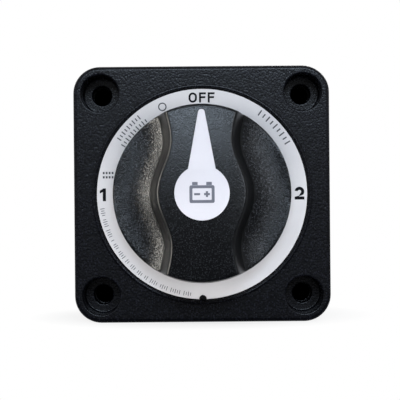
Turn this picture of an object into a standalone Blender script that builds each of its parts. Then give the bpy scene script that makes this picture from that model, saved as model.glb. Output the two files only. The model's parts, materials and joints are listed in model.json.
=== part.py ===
"""A marine battery selector switch (OFF, 1, 2) built as an assembly of separate pieces.

Every piece is modelled in the dial's own frame: X to the right, Y up towards the OFF mark, and Z out of
the panel towards the user, with Z = 0 on the rear mounting plane. The empty named dial then stands the
switch upright, so that in the world the dial faces -Y and the OFF mark is at the top, +Z.
"""

import math

import bmesh
import bpy
from mathutils import Matrix, Vector

MM = 0.001
GAP = 0.3 * MM  # clearance between pieces that touch on the real switch
PAST = 1.0 * MM  # how far a cutter runs past the face it opens, or a joined shape into its neighbour
MERGE_DISTANCE = 0.001 * MM

# Body
FACE_WIDTH = 69.5 * MM
BODY_DEPTH = 52.0 * MM
CORNER_RADIUS = 7.25 * MM
FACE_EDGE_ROUND = 1.8 * MM
WALL = 2.3 * MM
FRONT_WALL = 3.5 * MM
SEAM_Z = 40.0 * MM  # the front housing ends here and the rear frame begins
SKIRT_OVERLAP = 2.5 * MM  # how far the front housing's skirt reaches into the rear frame
SKIRT_WALL = 1.2 * MM
SKIRT_CORNER_RADIUS = 4.6 * MM
HALF_FACE = FACE_WIDTH / 2
INNER_HALF = HALF_FACE - WALL
FRONT_WALL_Z = BODY_DEPTH - FRONT_WALL

# Corner holes for the mounting screws
HOLE_OFFSET = 27.5 * MM
HOLE_RADIUS = 2.65 * MM
COUNTERBORE_RADIUS = 5.1 * MM
COUNTERBORE_DEPTH = 8.2 * MM
FRONT_COLUMN_RADIUS = 6.8 * MM
FRAME_COLUMN_RADIUS = 5.8 * MM
FRAME_COLUMN_TOP_Z = 36.8 * MM
HOLE_REACH = HOLE_OFFSET * math.sqrt(2)

# Legend ring in its recess
RING_INNER = 22.6 * MM
RING_OUTER = 28.5 * MM
RING_THICKNESS = 0.4 * MM
RECESS_INNER = 21.5 * MM
RECESS_OUTER = 28.95 * MM
RECESS_DEPTH = RING_THICKNESS + GAP
RECESS_LIP_WIDTH = 1.0 * MM
RECESS_LIP_HEIGHT = 0.3 * MM
RECESS_LIP_INNER = 28.35 * MM
KEY_RADIUS = 0.65 * MM
KEY_CENTRE = 28.4 * MM

# Switch chamber behind the front wall
CHAMBER_RADIUS = 25.0 * MM
CHAMBER_WALL_RADIUS = 27.5 * MM
CHAMBER_END_Z = 32.6 * MM
BUSH_RADIUS = 11.0 * MM
BUSH_TOP_Z = 55.3 * MM
SHAFT_BORE_RADIUS = 7.3 * MM
STOP_GROOVE_INNER = 10.5 * MM
STOP_GROOVE_OUTER = 15.5 * MM
STOP_GROOVE_Z = 50.4 * MM
STOP_OVERRUN = math.radians(12.5)  # room for half the stop lug beyond the quarter turn

# Detent
DETENT_Z = 44.5 * MM
NOTCH_RADIUS = 2.6 * MM
NOTCH_CENTRE = 23.7 * MM
NOTCH_BOTTOM_Z = 41.0 * MM
PLUNGER_RADIUS = 2.0 * MM
PLUNGER_INNER = 18.0 * MM
PLUNGER_TIP = CHAMBER_RADIUS - GAP
DETENT_SPRING_START = 12.8 * MM
DETENT_SPRING_RADIUS = 1.5 * MM
DETENT_SPRING_WIRE = 0.3 * MM
DETENT_SPRING_TURNS = 4.5

# Rotor
ROTOR_RADIUS = 24.0 * MM
ROTOR_BOTTOM_Z = 41.5 * MM
ROTOR_TOP_Z = 47.5 * MM
SHAFT_RADIUS = 7.0 * MM
SHAFT_SHOULDER_Z = 55.6 * MM
DRIVE_WIDTH = 9.4 * MM
DRIVE_TOP_Z = 64.6 * MM
STOP_LUG_TOP_Z = 50.0 * MM
STOP_LUG_INNER = 11.2 * MM
STOP_LUG_OUTER = 14.8 * MM
STOP_LUG_HALF_WIDTH = 2.0 * MM
ARM_SKIRT_WALL = 1.4 * MM
ARM_CLEARANCE = 0.4 * MM
SPRING_SEAT_RADIUS = 3.6 * MM
SHAFT_PILOT_RADIUS = 2.25 * MM
SHAFT_PILOT_Z = 57.5 * MM
O_RING_Z = 53.4 * MM
O_RING_RADIUS = 6.4 * MM
O_RING_THICKNESS = 0.7 * MM

# Terminals
STUD_PITCH = 16.5 * MM
STUD_RADIUS = 5.0 * MM
STUD_HEAD_RADIUS = 7.0 * MM
STUD_END_Z = 4.8 * MM
PAD_BOTTOM_Z = 30.9 * MM
PAD_TOP_Z = 33.6 * MM
COMMON_HEAD_TOP_Z = 36.2 * MM
BASE_BOTTOM_Z = 26.0 * MM
BASE_FLANGE_Z = 31.0 * MM
BASE_TOP_Z = 33.0 * MM
SPIGOT_RADIUS = 24.6 * MM
GASKET_OUTER = 26.0 * MM
BARRIER_END_Z = 12.0 * MM
BARRIER_THICKNESS = 2.0 * MM
BARRIER_REACH = 26.0 * MM
BARRIER_POST_RADIUS = 5.0 * MM
BARRIER_DIRECTIONS = (90, 225, 315)
FLAT_WASHER_RADIUS = 10.0 * MM
FLAT_WASHER_THICKNESS = 2.0 * MM
LOCK_WASHER_RADIUS = 8.6 * MM
LOCK_WASHER_THICKNESS = 2.5 * MM
LOCK_WASHER_SPLIT = 0.8 * MM
LOCK_WASHER_SLANT = math.radians(25)
NUT_ACROSS_FLATS = 17.0 * MM
NUT_HEIGHT = 8.0 * MM
NUT_CHAMFER = 1.1 * MM
STUD_CHAMFER = 1.0 * MM
HEAD_CHAMFER = 0.3 * MM

# Moving contact
ARM_HALF_WIDTH = 6.0 * MM
ARM_BOTTOM_Z = 36.0 * MM
ARM_TOP_Z = 39.0 * MM
TIP_RADIUS = 4.5 * MM
TIP_SHANK_RADIUS = 2.0 * MM
TIP_CHAMFER = 0.5 * MM
CONTACT_SPRING_RADIUS = 2.8 * MM
CONTACT_SPRING_WIRE = 0.4 * MM
CONTACT_SPRING_TURNS = 3.5
CONTACT_SPRING_TOP_Z = 44.7 * MM

# Base screws
BASE_SCREW_REACH = 29.6 * MM
BASE_SCREW_RADIUS = 1.3 * MM
BASE_SCREW_LENGTH = 14.5 * MM
BASE_SCREW_HEAD_RADIUS = 2.7 * MM
EAR_RADIUS = 3.0 * MM
EAR_HOLE_RADIUS = 1.7 * MM
PILOT_RADIUS = 1.6 * MM
PILOT_TOP_Z = 42.0 * MM
SCREW_HEAD_HEIGHT = 2.2 * MM

# Side panels and rear cover
WINDOW_HALF_WIDTH = 19.0 * MM
WINDOW_HEIGHT = 24.0 * MM
PANEL_RECESS = 0.2 * MM
FLANGE_HALF_WIDTH = 22.6 * MM
FLANGE_INNER = 31.0 * MM
FLANGE_OUTER = 32.15 * MM
FLANGE_LOW_Z = 2.6 * MM
FLANGE_HIGH_Z = 25.5 * MM
GUIDE_INNER = 20.8 * MM
GUIDE_OUTER = 24.5 * MM
SCORE_HALF_WIDTH = 0.4 * MM
SCORE_DEPTH = 0.6 * MM
SCORE_RADIUS = 9.0 * MM
SCORE_CENTRE_Z = 10.5 * MM
COVER_THICKNESS = 2.0 * MM
COVER_HALF_WIDTH = 32.1 * MM
COVER_CORNER_RADIUS = 3.0 * MM
ACCESS_RADIUS = 10.5 * MM
COVER_LEG_LENGTH = 13.0 * MM
COVER_LEG_HALF_WIDTH = 2.5 * MM
LEG_INNER = 29.0 * MM
LEG_OUTER = 30.7 * MM
PRY_HALF_WIDTH = 3.5 * MM
PRY_DEPTH = 1.6 * MM

# Knob
KNOB_BOTTOM_Z = 52.6 * MM
KNOB_TOP_Z = 74.0 * MM
KNOB_BASE_RADIUS = 24.15 * MM
KNOB_DRAFT = math.radians(3.9)
SCOOP_FLOOR_Z = 58.5 * MM
GRIP_WAIST = 8.15 * MM
GRIP_SWELL = 3.55 * MM
SWELL_REACH = 14.0 * MM
GRIP_FLARE = 1.25 * MM
FLARE_START = 13.0 * MM
FLARE_LENGTH = 7.6 * MM
ARCH_DROP = 1.6 * MM  # how far the top of the grip falls from the middle to its ends
CROWN_DROP = 0.35 * MM  # and from the middle to its sides
GRIP_LENGTH_HALF = 22.5 * MM
EDGE_ROUND = 1.2 * MM
WALL_ANGLE = math.radians(81)
FOOT_RADIUS = 2.5 * MM
SCOOP_ANGLE = math.radians(48)
SCOOP_RADIUS = 9.3 * MM
KNOB_SHELL = 2.8 * MM
UNDERCUT_TOP_Z = 55.8 * MM
UNDERCUT_RADIUS = 21.6 * MM
CAVITY_TOP_Z = 70.3 * MM
CAVITY_HALF_LENGTH = 18.5 * MM
HUB_RADIUS = 7.8 * MM
KNOB_SCREW_RADIUS = 1.9 * MM
KNOB_SCREW_LENGTH = 12.0 * MM
KNOB_SCREW_HEAD_RADIUS = 3.6 * MM
SCREW_SEAT_RADIUS = 4.0 * MM
SCREW_SEAT_Z = 70.0 * MM

# Pointer insert
DISC_RADIUS = 7.06 * MM
POINTER_LENGTH = 21.5 * MM
POINTER_TIP_RADIUS = 0.87 * MM
POINTER_ROOT_HALF = 3.52 * MM
INSERT_THICKNESS = 0.75 * MM
POCKET_DEPTH = INSERT_THICKNESS + GAP

QUARTERS = [math.radians(a) for a in (0, 90, 180, 270)]
DIAGONALS = [math.radians(a) for a in (45, 135, 225, 315)]
TERMINALS = {"1": (-STUD_PITCH, 0), "2": (STUD_PITCH, 0), "common": (0, -STUD_PITCH)}
FASTENER_TURNS = {"1": 20, "2": 200, "common": 110}  # degrees, so that no two are tightened alike


# ---------------------------------------------------------------- scene, materials and helpers


def clear_scene():
    for obj in list(bpy.data.objects):
        bpy.data.objects.remove(obj)


def new_collection(name):
    collection = bpy.data.collections.new(name)
    bpy.context.scene.collection.children.link(collection)
    return collection


def material(name, colour, roughness, metallic=0.0):
    made = bpy.data.materials.new(name)
    made.use_nodes = True
    shader = made.node_tree.nodes["Principled BSDF"]
    shader.inputs["Base Color"].default_value = (*colour, 1)
    shader.inputs["Roughness"].default_value = roughness
    shader.inputs["Metallic"].default_value = metallic
    made.diffuse_color = (*colour, 1)
    return made


clear_scene()
PARTS = new_collection("battery_selector_switch")
CUTTERS = new_collection("cutters")

DIAL = bpy.data.objects.new("dial", None)
DIAL.rotation_euler = (math.radians(90), 0, 0)
PARTS.objects.link(DIAL)

BLACK_PLASTIC = material("black_plastic", (0.018, 0.019, 0.023), 0.55)
KNOB_PLASTIC = material("knob_plastic", (0.017, 0.018, 0.021), 0.42)
DARK_PLASTIC = material("dark_moulded_plastic", (0.03, 0.03, 0.032), 0.5)
NYLON = material("natural_nylon", (0.72, 0.69, 0.6), 0.45)
LEGEND = material("legend_white", (0.76, 0.77, 0.81), 0.4)
POINTER_WHITE = material("pointer_white", (0.86, 0.87, 0.93), 0.38)
TINNED = material("tinned_copper", (0.78, 0.76, 0.72), 0.3, 1.0)
COPPER = material("bare_copper", (0.85, 0.43, 0.26), 0.28, 1.0)
SILVER = material("silver_alloy", (0.9, 0.89, 0.86), 0.25, 1.0)
STEEL = material("stainless_steel", (0.6, 0.6, 0.6), 0.3, 1.0)
RUBBER = material("black_rubber", (0.02, 0.02, 0.02), 0.85)


def place(name, mesh, finish, at=(0, 0, 0), turn=0.0):
    """A visible piece: a mesh in the dial's frame, moved to at and turned about the dial's axis."""
    obj = bpy.data.objects.new(name, mesh)
    if not mesh.materials:
        mesh.materials.append(finish)
    obj.parent = DIAL
    obj.location = at
    obj.rotation_euler = (0, 0, turn)
    PARTS.objects.link(obj)
    return obj


def helper(name, mesh, at=(0, 0, 0), turn=0.0):
    """A shape that only cuts, joins or limits another one. It isn't a piece of the switch."""
    obj = bpy.data.objects.new(name, mesh)
    obj.parent = DIAL
    obj.location = at
    obj.rotation_euler = (0, 0, turn)
    obj.hide_render = True
    obj.display_type = "WIRE"
    CUTTERS.objects.link(obj)
    return obj


def combine(target, operation, *others):
    for other in others:
        modifier = target.modifiers.new(f"{operation.lower()}_{other.name}", "BOOLEAN")
        modifier.operation = operation
        modifier.object = other


def cut(target, *cutters):
    combine(target, "DIFFERENCE", *cutters)


def join(target, *others):
    combine(target, "UNION", *others)


def smooth(obj, angle=35):
    obj.data.shade_smooth()
    obj.data.set_sharp_from_angle(angle=math.radians(angle))
    return obj


def mesh_from(bm, name):
    mesh = bpy.data.meshes.new(name)
    bmesh.ops.recalc_face_normals(bm, faces=bm.faces)
    bm.to_mesh(mesh)
    bm.free()
    return mesh


def evaluated_mesh(obj):
    """What an object's modifiers, or its curve settings, make of it."""
    bpy.context.view_layer.update()
    graph = bpy.context.evaluated_depsgraph_get()
    return bpy.data.meshes.new_from_object(obj.evaluated_get(graph))


def arc(centre, radius, start, end, steps):
    """Points on an arc from the start to the end angle, in degrees, both included."""
    angles = [math.radians(start + (end - start) * i / steps) for i in range(steps + 1)]
    return [(centre[0] + radius * math.cos(a), centre[1] + radius * math.sin(a)) for a in angles]


# ---------------------------------------------------------------- basic shapes


def cylinder_mesh(name, radius, z_low, z_high, segments=48, top_radius=None):
    top = radius if top_radius is None else top_radius
    middle = Matrix.Translation((0, 0, (z_low + z_high) / 2))
    depth = z_high - z_low
    bm = bmesh.new()
    bmesh.ops.create_cone(
        bm, cap_ends=True, segments=segments, radius1=radius, radius2=top, depth=depth, matrix=middle
    )
    return mesh_from(bm, name)


def box_mesh(name, x, y, z):
    """A box that spans the three (low, high) pairs."""
    bm = bmesh.new()
    bmesh.ops.create_cube(bm, size=1)
    for v in bm.verts:
        for axis, (low, high) in enumerate((x, y, z)):
            v.co[axis] = low if v.co[axis] < 0 else high
    return mesh_from(bm, name)


def rounded_box_mesh(name, half, corner, z_low, z_high, front_round=0.0):
    """A square block with rounded corners and, if asked, a rounded front edge."""
    bm = bmesh.new()
    bmesh.ops.create_cube(bm, size=1)
    for v in bm.verts:
        z = z_low if v.co.z < 0 else z_high
        v.co = Vector((math.copysign(half, v.co.x), math.copysign(half, v.co.y), z))
    upright = [e for e in bm.edges if abs(e.verts[0].co.z - e.verts[1].co.z) > MM]
    bmesh.ops.bevel(bm, geom=upright, offset=corner, segments=5, profile=0.5, affect="EDGES")
    if front_round:
        front = [e for e in bm.edges if all(v.co.z > z_high - MM / 10 for v in e.verts)]
        bmesh.ops.bevel(bm, geom=front, offset=front_round, segments=3, profile=0.5, affect="EDGES")
    return mesh_from(bm, name)


def turned_mesh_object(name, profile, segments, closed):
    """A helper object whose Screw modifier turns the profile, given as (radius, z) points."""
    mesh = bpy.data.meshes.new(name)
    count = len(profile)
    edges = [(i, i + 1) for i in range(count - 1)]
    if closed:
        edges.append((count - 1, 0))
    mesh.from_pydata([(r, 0, z) for r, z in profile], edges, [])
    obj = bpy.data.objects.new(name, mesh)
    screw = obj.modifiers.new("turn", "SCREW")
    screw.axis = "Z"
    screw.steps = screw.render_steps = segments
    screw.use_merge_vertices = True
    screw.merge_threshold = MERGE_DISTANCE
    return obj


def turned(name, profile, finish=None, at=(0, 0, 0), segments=48, closed=False):
    """A piece turned about its own axis, or a helper if it has no finish. Its profile runs down outside."""
    obj = turned_mesh_object(name, profile, segments, closed)
    obj.parent = DIAL
    obj.location = at
    if finish is None:
        obj.hide_render = True
        obj.display_type = "WIRE"
        CUTTERS.objects.link(obj)
    else:
        obj.data.materials.append(finish)
        PARTS.objects.link(obj)
    return obj


def ring_profile(inner, outer, z_low, z_high):
    return [(outer, z_high), (outer, z_low), (inner, z_low), (inner, z_high)]


def plate_mesh(name, outlines, z_low, z_high):
    """A flat plate from a filled 2D curve: the first outline is its edge, and the others are holes in it."""
    curve = bpy.data.curves.new(name, "CURVE")
    curve.dimensions = "2D"
    curve.fill_mode = "BOTH"
    curve.extrude = (z_high - z_low) / 2
    for outline in outlines:
        spline = curve.splines.new("POLY")
        spline.points.add(len(outline) - 1)
        for point, (x, y) in zip(spline.points, outline):
            point.co = (x, y, 0, 1)
        spline.use_cyclic_u = True
    obj = bpy.data.objects.new(name, curve)
    bpy.context.scene.collection.objects.link(obj)
    mesh = evaluated_mesh(obj)
    bpy.data.objects.remove(obj)
    mesh.name = name
    bm = bmesh.new()
    bm.from_mesh(mesh)
    bmesh.ops.remove_doubles(bm, verts=bm.verts, dist=MERGE_DISTANCE)
    bmesh.ops.translate(bm, verts=bm.verts, vec=(0, 0, (z_low + z_high) / 2))
    bmesh.ops.recalc_face_normals(bm, faces=bm.faces)
    bm.to_mesh(mesh)
    bm.free()
    return mesh


def circle(centre, radius, segments):
    return arc(centre, radius, 0, 360, segments)[:-1]


def obround(half_width, y_start, y_end, steps=8):
    """The outline of a slot shape along Y, with a half circle round each end."""
    return arc((0, y_end), half_width, 0, 180, steps) + arc((0, y_start), half_width, 180, 360, steps)


def coil(name, radius, wire, length, turns, finish, at, tilt=0.0):
    """A compression spring that starts at its origin and runs along its own Z, tilted about Y."""
    points_per_turn = 8
    count = int(turns * points_per_turn) + 1
    curve = bpy.data.curves.new(name, "CURVE")
    curve.dimensions = "3D"
    curve.bevel_depth = wire
    curve.bevel_resolution = 0
    curve.use_fill_caps = True
    spline = curve.splines.new("POLY")
    spline.points.add(count - 1)
    for i, point in enumerate(spline.points):
        angle = 2 * math.pi * i / points_per_turn
        z = wire + (length - 2 * wire) * i / (count - 1)
        point.co = (radius * math.cos(angle), radius * math.sin(angle), z, 1)
    curve.materials.append(finish)
    obj = bpy.data.objects.new(name, curve)
    obj.parent = DIAL
    obj.location = at
    obj.rotation_euler = (0, tilt, 0)
    PARTS.objects.link(obj)
    return obj


def at_radius(radius, angle, z=0.0):
    return (radius * math.cos(angle), radius * math.sin(angle), z)


# ---------------------------------------------------------------- front housing


def ring_lip():
    """The low rounded bead round the legend ring's recess."""
    outer, height = RECESS_OUTER + RECESS_LIP_WIDTH, RECESS_LIP_HEIGHT
    top, foot = BODY_DEPTH + height, BODY_DEPTH - PAST
    profile = [(outer - height, top), (outer - height / 4, BODY_DEPTH + height / 2), (outer, foot)]
    profile += [(RECESS_LIP_INNER, foot), (RECESS_LIP_INNER, top)]
    return turned("housing_ring_lip", profile, segments=56, closed=True)


def corner_hole(index, angle):
    """A mounting screw's hole and its counterbore, cut from the front."""
    top, step = BODY_DEPTH + PAST, BODY_DEPTH - COUNTERBORE_DEPTH
    profile = [(0, top), (COUNTERBORE_RADIUS, top), (COUNTERBORE_RADIUS, step), (HOLE_RADIUS, step)]
    profile += [(HOLE_RADIUS, -PAST), (0, -PAST)]
    return turned(f"corner_hole_{index}", profile, at=at_radius(HOLE_REACH, angle), segments=24)


def stop_groove():
    """The curved slot in the front wall that lets the rotor's stop lug turn a quarter turn each way."""
    over = math.degrees(STOP_OVERRUN)
    outline = arc((0, 0), STOP_GROOVE_OUTER, -over, 180 + over, 14)
    outline += arc((0, 0), STOP_GROOVE_INNER, 180 + over, -over, 14)
    mesh = plate_mesh("stop_groove", [outline], FRONT_WALL_Z - PAST, STOP_GROOVE_Z)
    return helper("stop_groove", mesh)


def housing_shell():
    """The face block with a thin skirt behind it that reaches into the rear frame."""
    face = rounded_box_mesh("front_housing", HALF_FACE, CORNER_RADIUS, SEAM_Z, BODY_DEPTH, FACE_EDGE_ROUND)
    body = place("front_housing", face, BLACK_PLASTIC)
    skirt_z = SEAM_Z - SKIRT_OVERLAP
    half, corner = INNER_HALF - GAP, SKIRT_CORNER_RADIUS
    skirt = rounded_box_mesh("housing_skirt", half, corner, skirt_z, BODY_DEPTH - 2 * PAST)
    pocket_half, pocket_corner = half - SKIRT_WALL, corner - SKIRT_WALL
    pocket = rounded_box_mesh("housing_pocket", pocket_half, pocket_corner, skirt_z - PAST, FRONT_WALL_Z)
    join(body, helper("housing_skirt", skirt))
    cut(body, helper("housing_pocket", pocket))
    return body


def add_columns(body):
    """Columns round the mounting screws and bosses for the base screws, on the inside of the front wall."""
    for index, angle in enumerate(DIAGONALS):
        column = cylinder_mesh("front_column", FRONT_COLUMN_RADIUS, SEAM_Z + GAP, FRONT_WALL_Z + PAST, 20)
        boss = cylinder_mesh("screw_boss", EAR_RADIUS + GAP, BASE_FLANGE_Z + GAP, FRONT_WALL_Z + PAST, 14)
        join(body, helper(f"front_column_{index}", column, at=at_radius(HOLE_REACH, angle)))
        join(body, helper(f"screw_boss_{index}", boss, at=at_radius(BASE_SCREW_REACH, angle)))


def add_chamber(body):
    """The round wall of the switch chamber, which hangs from the front wall."""
    wall = ring_profile(CHAMBER_RADIUS - 2 * PAST, CHAMBER_WALL_RADIUS, CHAMBER_END_Z, FRONT_WALL_Z + PAST)
    join(body, turned("chamber_wall", wall, segments=48, closed=True))
    chamber = cylinder_mesh("chamber", CHAMBER_RADIUS, CHAMBER_END_Z - PAST, FRONT_WALL_Z, 48)
    cut(body, helper("chamber", chamber))


def add_dial(body):
    """What shows round the knob: the shaft's bush, and the legend ring's recess with its bead and key."""
    bush = cylinder_mesh("bush", BUSH_RADIUS, BODY_DEPTH - 2 * PAST, BUSH_TOP_Z, 32)
    join(body, helper("bush", bush), ring_lip())
    floor = BODY_DEPTH - RECESS_DEPTH
    recess = ring_profile(RECESS_INNER, RECESS_OUTER, floor, BODY_DEPTH + 2 * PAST)
    cut(body, turned("ring_recess", recess, segments=56, closed=True))
    key = cylinder_mesh("ring_key", KEY_RADIUS, floor - PAST, BODY_DEPTH + RECESS_LIP_HEIGHT, 12)
    join(body, helper("ring_key", key, at=(0, -KEY_CENTRE, 0)))


def front_housing():
    body = housing_shell()
    add_columns(body)
    add_chamber(body)
    add_dial(body)
    bore = cylinder_mesh("shaft_bore", SHAFT_BORE_RADIUS, FRONT_WALL_Z - PAST, BUSH_TOP_Z + PAST, 32)
    cut(body, helper("shaft_bore", bore), stop_groove())
    for index, angle in enumerate(DIAGONALS):
        pilot = cylinder_mesh("pilot", PILOT_RADIUS, BASE_FLANGE_Z - PAST, PILOT_TOP_Z, 8)
        cut(body, corner_hole(index, angle))
        cut(body, helper(f"pilot_{index}", pilot, at=at_radius(BASE_SCREW_REACH, angle)))
    for index, angle in enumerate(QUARTERS):
        notch = cylinder_mesh("detent_notch", NOTCH_RADIUS, NOTCH_BOTTOM_Z, FRONT_WALL_Z, 14)
        cut(body, helper(f"detent_notch_{index}", notch, at=at_radius(NOTCH_CENTRE, angle)))
    return smooth(body)


def legend_ring():
    """The printed ring, with a notch at six o'clock for the housing's key."""
    top = BODY_DEPTH
    profile = ring_profile(RING_INNER, RING_OUTER, top - RING_THICKNESS, top)
    ring = turned("legend_ring", profile, LEGEND, segments=56, closed=True)
    notch = cylinder_mesh("ring_notch", KEY_RADIUS + GAP, top - PAST, top + PAST, 14)
    cut(ring, helper("ring_notch", notch, at=(0, -KEY_CENTRE, 0)))
    return ring


# ---------------------------------------------------------------- rear frame, panels and cover


def guide_mesh(side):
    """A rib beside a window that guides the knock-out panel's flange, on the side -1 or 1."""
    x = sorted((side * GUIDE_INNER, side * GUIDE_OUTER))
    return box_mesh("panel_guide", x, (LEG_INNER + 0.2 * MM, LEG_OUTER), (FLANGE_LOW_Z, WINDOW_HEIGHT))


def rear_frame():
    """The square skirt round the terminals, with a window in each side and a column in each corner."""
    top = SEAM_Z - GAP
    outside = rounded_box_mesh("rear_frame", HALF_FACE, CORNER_RADIUS, 0, top)
    inside = rounded_box_mesh("frame_inside", INNER_HALF, CORNER_RADIUS - WALL, -PAST, top + PAST)
    frame = place("rear_frame", outside, BLACK_PLASTIC)
    cut(frame, helper("frame_inside", inside))
    column = cylinder_mesh("frame_column", FRAME_COLUMN_RADIUS, 0, FRAME_COLUMN_TOP_Z, 20)
    bore = cylinder_mesh("frame_bore", HOLE_RADIUS, -PAST, SEAM_Z, 16)
    half = WINDOW_HALF_WIDTH
    window = box_mesh("window", (-half, half), (INNER_HALF - PAST, HALF_FACE + PAST), (-PAST, WINDOW_HEIGHT))
    for index, angle in enumerate(DIAGONALS):
        join(frame, helper(f"frame_column_{index}", column, at=at_radius(HOLE_REACH, angle), turn=angle))
    for index, angle in enumerate(QUARTERS):
        join(frame, helper(f"panel_guide_left_{index}", guide_mesh(-1), turn=angle))
        join(frame, helper(f"panel_guide_right_{index}", guide_mesh(1), turn=angle))
        cut(frame, helper(f"window_{index}", window, turn=angle))
    for index, angle in enumerate(DIAGONALS):
        cut(frame, helper(f"frame_bore_{index}", bore, at=at_radius(HOLE_REACH, angle), turn=angle))
    return smooth(frame)


def panel_score(outer):
    """The cutter for the scored U in a knock-out panel whose outer face is at outer along Y."""
    wide, narrow = SCORE_RADIUS + SCORE_HALF_WIDTH, SCORE_RADIUS - SCORE_HALF_WIDTH
    centre = (0, SCORE_CENTRE_Z)
    outline = [(wide, -PAST)] + arc(centre, wide, 0, 180, 16) + [(-wide, -PAST)]
    outline += [(-narrow, -PAST)] + arc(centre, narrow, 180, 0, 16) + [(narrow, -PAST)]
    groove = plate_mesh("panel_score", [outline], -outer - PAST, -outer + SCORE_DEPTH)
    groove.transform(Matrix.Rotation(math.radians(90), 4, "X"))
    return helper("panel_score", groove)


def side_panel_mesh():
    """A knock-out panel for the +Y window: a plate in the window, a wider flange behind it and a scored U."""
    outer = HALF_FACE - PANEL_RECESS
    half, web_half = WINDOW_HALF_WIDTH - GAP, WINDOW_HALF_WIDTH - GAP - PAST
    plate = box_mesh("panel_plate", (-half, half), (INNER_HALF, outer), (0, WINDOW_HEIGHT - GAP))
    web_z = (FLANGE_LOW_Z + 0.2 * MM, WINDOW_HEIGHT - PAST)
    web = box_mesh("panel_web", (-web_half, web_half), (FLANGE_INNER + 0.5 * MM, INNER_HALF + PAST), web_z)
    flange_x = (-FLANGE_HALF_WIDTH, FLANGE_HALF_WIDTH)
    flange = box_mesh("panel_flange", flange_x, (FLANGE_INNER, FLANGE_OUTER), (FLANGE_LOW_Z, FLANGE_HIGH_Z))
    panel = helper("panel_plate", plate)
    join(panel, helper("panel_web", web), helper("panel_flange", flange))
    cut(panel, panel_score(outer))
    return evaluated_mesh(panel)


def side_panels():
    mesh = side_panel_mesh()
    mesh.materials.clear()
    for side, angle in zip(("top", "left", "bottom", "right"), QUARTERS):
        place(f"side_panel_{side}", mesh, BLACK_PLASTIC, turn=angle)


def rear_cover():
    """The insulating cover inside the frame's rear opening, with a wrench hole over each terminal nut."""
    plate = rounded_box_mesh("rear_cover", COVER_HALF_WIDTH, COVER_CORNER_RADIUS, 0, COVER_THICKNESS)
    cover = place("rear_cover", plate, DARK_PLASTIC)
    past = COVER_THICKNESS + PAST
    leg_y = (-COVER_LEG_HALF_WIDTH, COVER_LEG_HALF_WIDTH)
    leg = box_mesh("cover_leg", (LEG_INNER, LEG_OUTER), leg_y, (COVER_THICKNESS / 2, COVER_LEG_LENGTH))
    for index, angle in enumerate(DIAGONALS):
        corner = cylinder_mesh("cover_corner", FRAME_COLUMN_RADIUS + GAP + 0.1 * MM, -PAST, past, 20)
        cut(cover, helper(f"cover_corner_{index}", corner, at=at_radius(HOLE_REACH, angle)))
        join(cover, helper(f"cover_leg_{index}", leg, turn=QUARTERS[index]))
    for name, (x, y) in TERMINALS.items():
        hole = cylinder_mesh("access_hole", ACCESS_RADIUS, -PAST, past, 32)
        cut(cover, helper(f"access_hole_{name}", hole, at=(x, y, 0)))
    pry_y = (COVER_HALF_WIDTH - PRY_DEPTH, COVER_HALF_WIDTH + PAST)
    pry = box_mesh("pry_slot", (-PRY_HALF_WIDTH, PRY_HALF_WIDTH), pry_y, (-PAST, past))
    for index, angle in enumerate((QUARTERS[0], QUARTERS[2])):
        cut(cover, helper(f"pry_slot_{index}", pry, turn=angle))
    return smooth(cover)


# ---------------------------------------------------------------- terminals and contact base


def add_barriers(base):
    """Three walls from a middle post, which keep the cable lugs apart."""
    post = cylinder_mesh("barrier_post", BARRIER_POST_RADIUS, BARRIER_END_Z, BASE_BOTTOM_Z + PAST, 16)
    join(base, helper("barrier_post", post))
    half, z = BARRIER_THICKNESS / 2, (BARRIER_END_Z + GAP, BASE_BOTTOM_Z + PAST)
    barrier = box_mesh("barrier", (BARRIER_POST_RADIUS / 2, BARRIER_REACH), (-half, half), z)
    for index, degrees in enumerate(BARRIER_DIRECTIONS):
        join(base, helper(f"barrier_{index}", barrier, turn=math.radians(degrees)))


def add_ears(base):
    for index, angle in enumerate(DIAGONALS):
        where = at_radius(BASE_SCREW_REACH, angle)
        ear = cylinder_mesh("base_ear", EAR_RADIUS, BASE_BOTTOM_Z + GAP, BASE_FLANGE_Z - GAP, 14)
        hole = cylinder_mesh("ear_hole", EAR_HOLE_RADIUS, BASE_BOTTOM_Z - PAST, BASE_FLANGE_Z + PAST, 10)
        join(base, helper(f"base_ear_{index}", ear, at=where))
        cut(base, helper(f"ear_hole_{index}", hole, at=where))


def contact_base():
    """The moulded base that closes the chamber, carries the studs and keeps them apart with barriers."""
    wide, bottom = CHAMBER_WALL_RADIUS, BASE_BOTTOM_Z
    profile = [(0, BASE_TOP_Z), (SPIGOT_RADIUS, BASE_TOP_Z), (SPIGOT_RADIUS, BASE_FLANGE_Z)]
    profile += [(wide, BASE_FLANGE_Z), (wide, bottom), (0, bottom)]
    base = turned("contact_base", profile, DARK_PLASTIC, segments=48)
    add_barriers(base)
    add_ears(base)
    seat_z = PAD_BOTTOM_Z - GAP
    for name, (x, y) in TERMINALS.items():
        hole = cylinder_mesh("stud_hole", STUD_RADIUS + GAP, BASE_BOTTOM_Z - PAST, BASE_TOP_Z, 20)
        cut(base, helper(f"stud_hole_{name}", hole, at=(x, y, 0)))
        if name != "common":
            seat = cylinder_mesh("stud_seat", STUD_HEAD_RADIUS + GAP, seat_z, BASE_TOP_Z + PAST, 24)
            cut(base, helper(f"stud_seat_{name}", seat, at=(x, y, 0)))
    bus_outline = obround(STUD_HEAD_RADIUS + GAP, -STUD_PITCH, 0)
    bus_seat = plate_mesh("bus_seat", [bus_outline], seat_z, BASE_TOP_Z + PAST)
    cut(base, helper("bus_seat", bus_seat))
    return base


def base_gasket():
    profile = ring_profile(SPIGOT_RADIUS + GAP, GASKET_OUTER, BASE_FLANGE_Z + GAP, CHAMBER_END_Z - GAP)
    return turned("base_gasket", profile, RUBBER, segments=40, closed=True)


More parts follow.
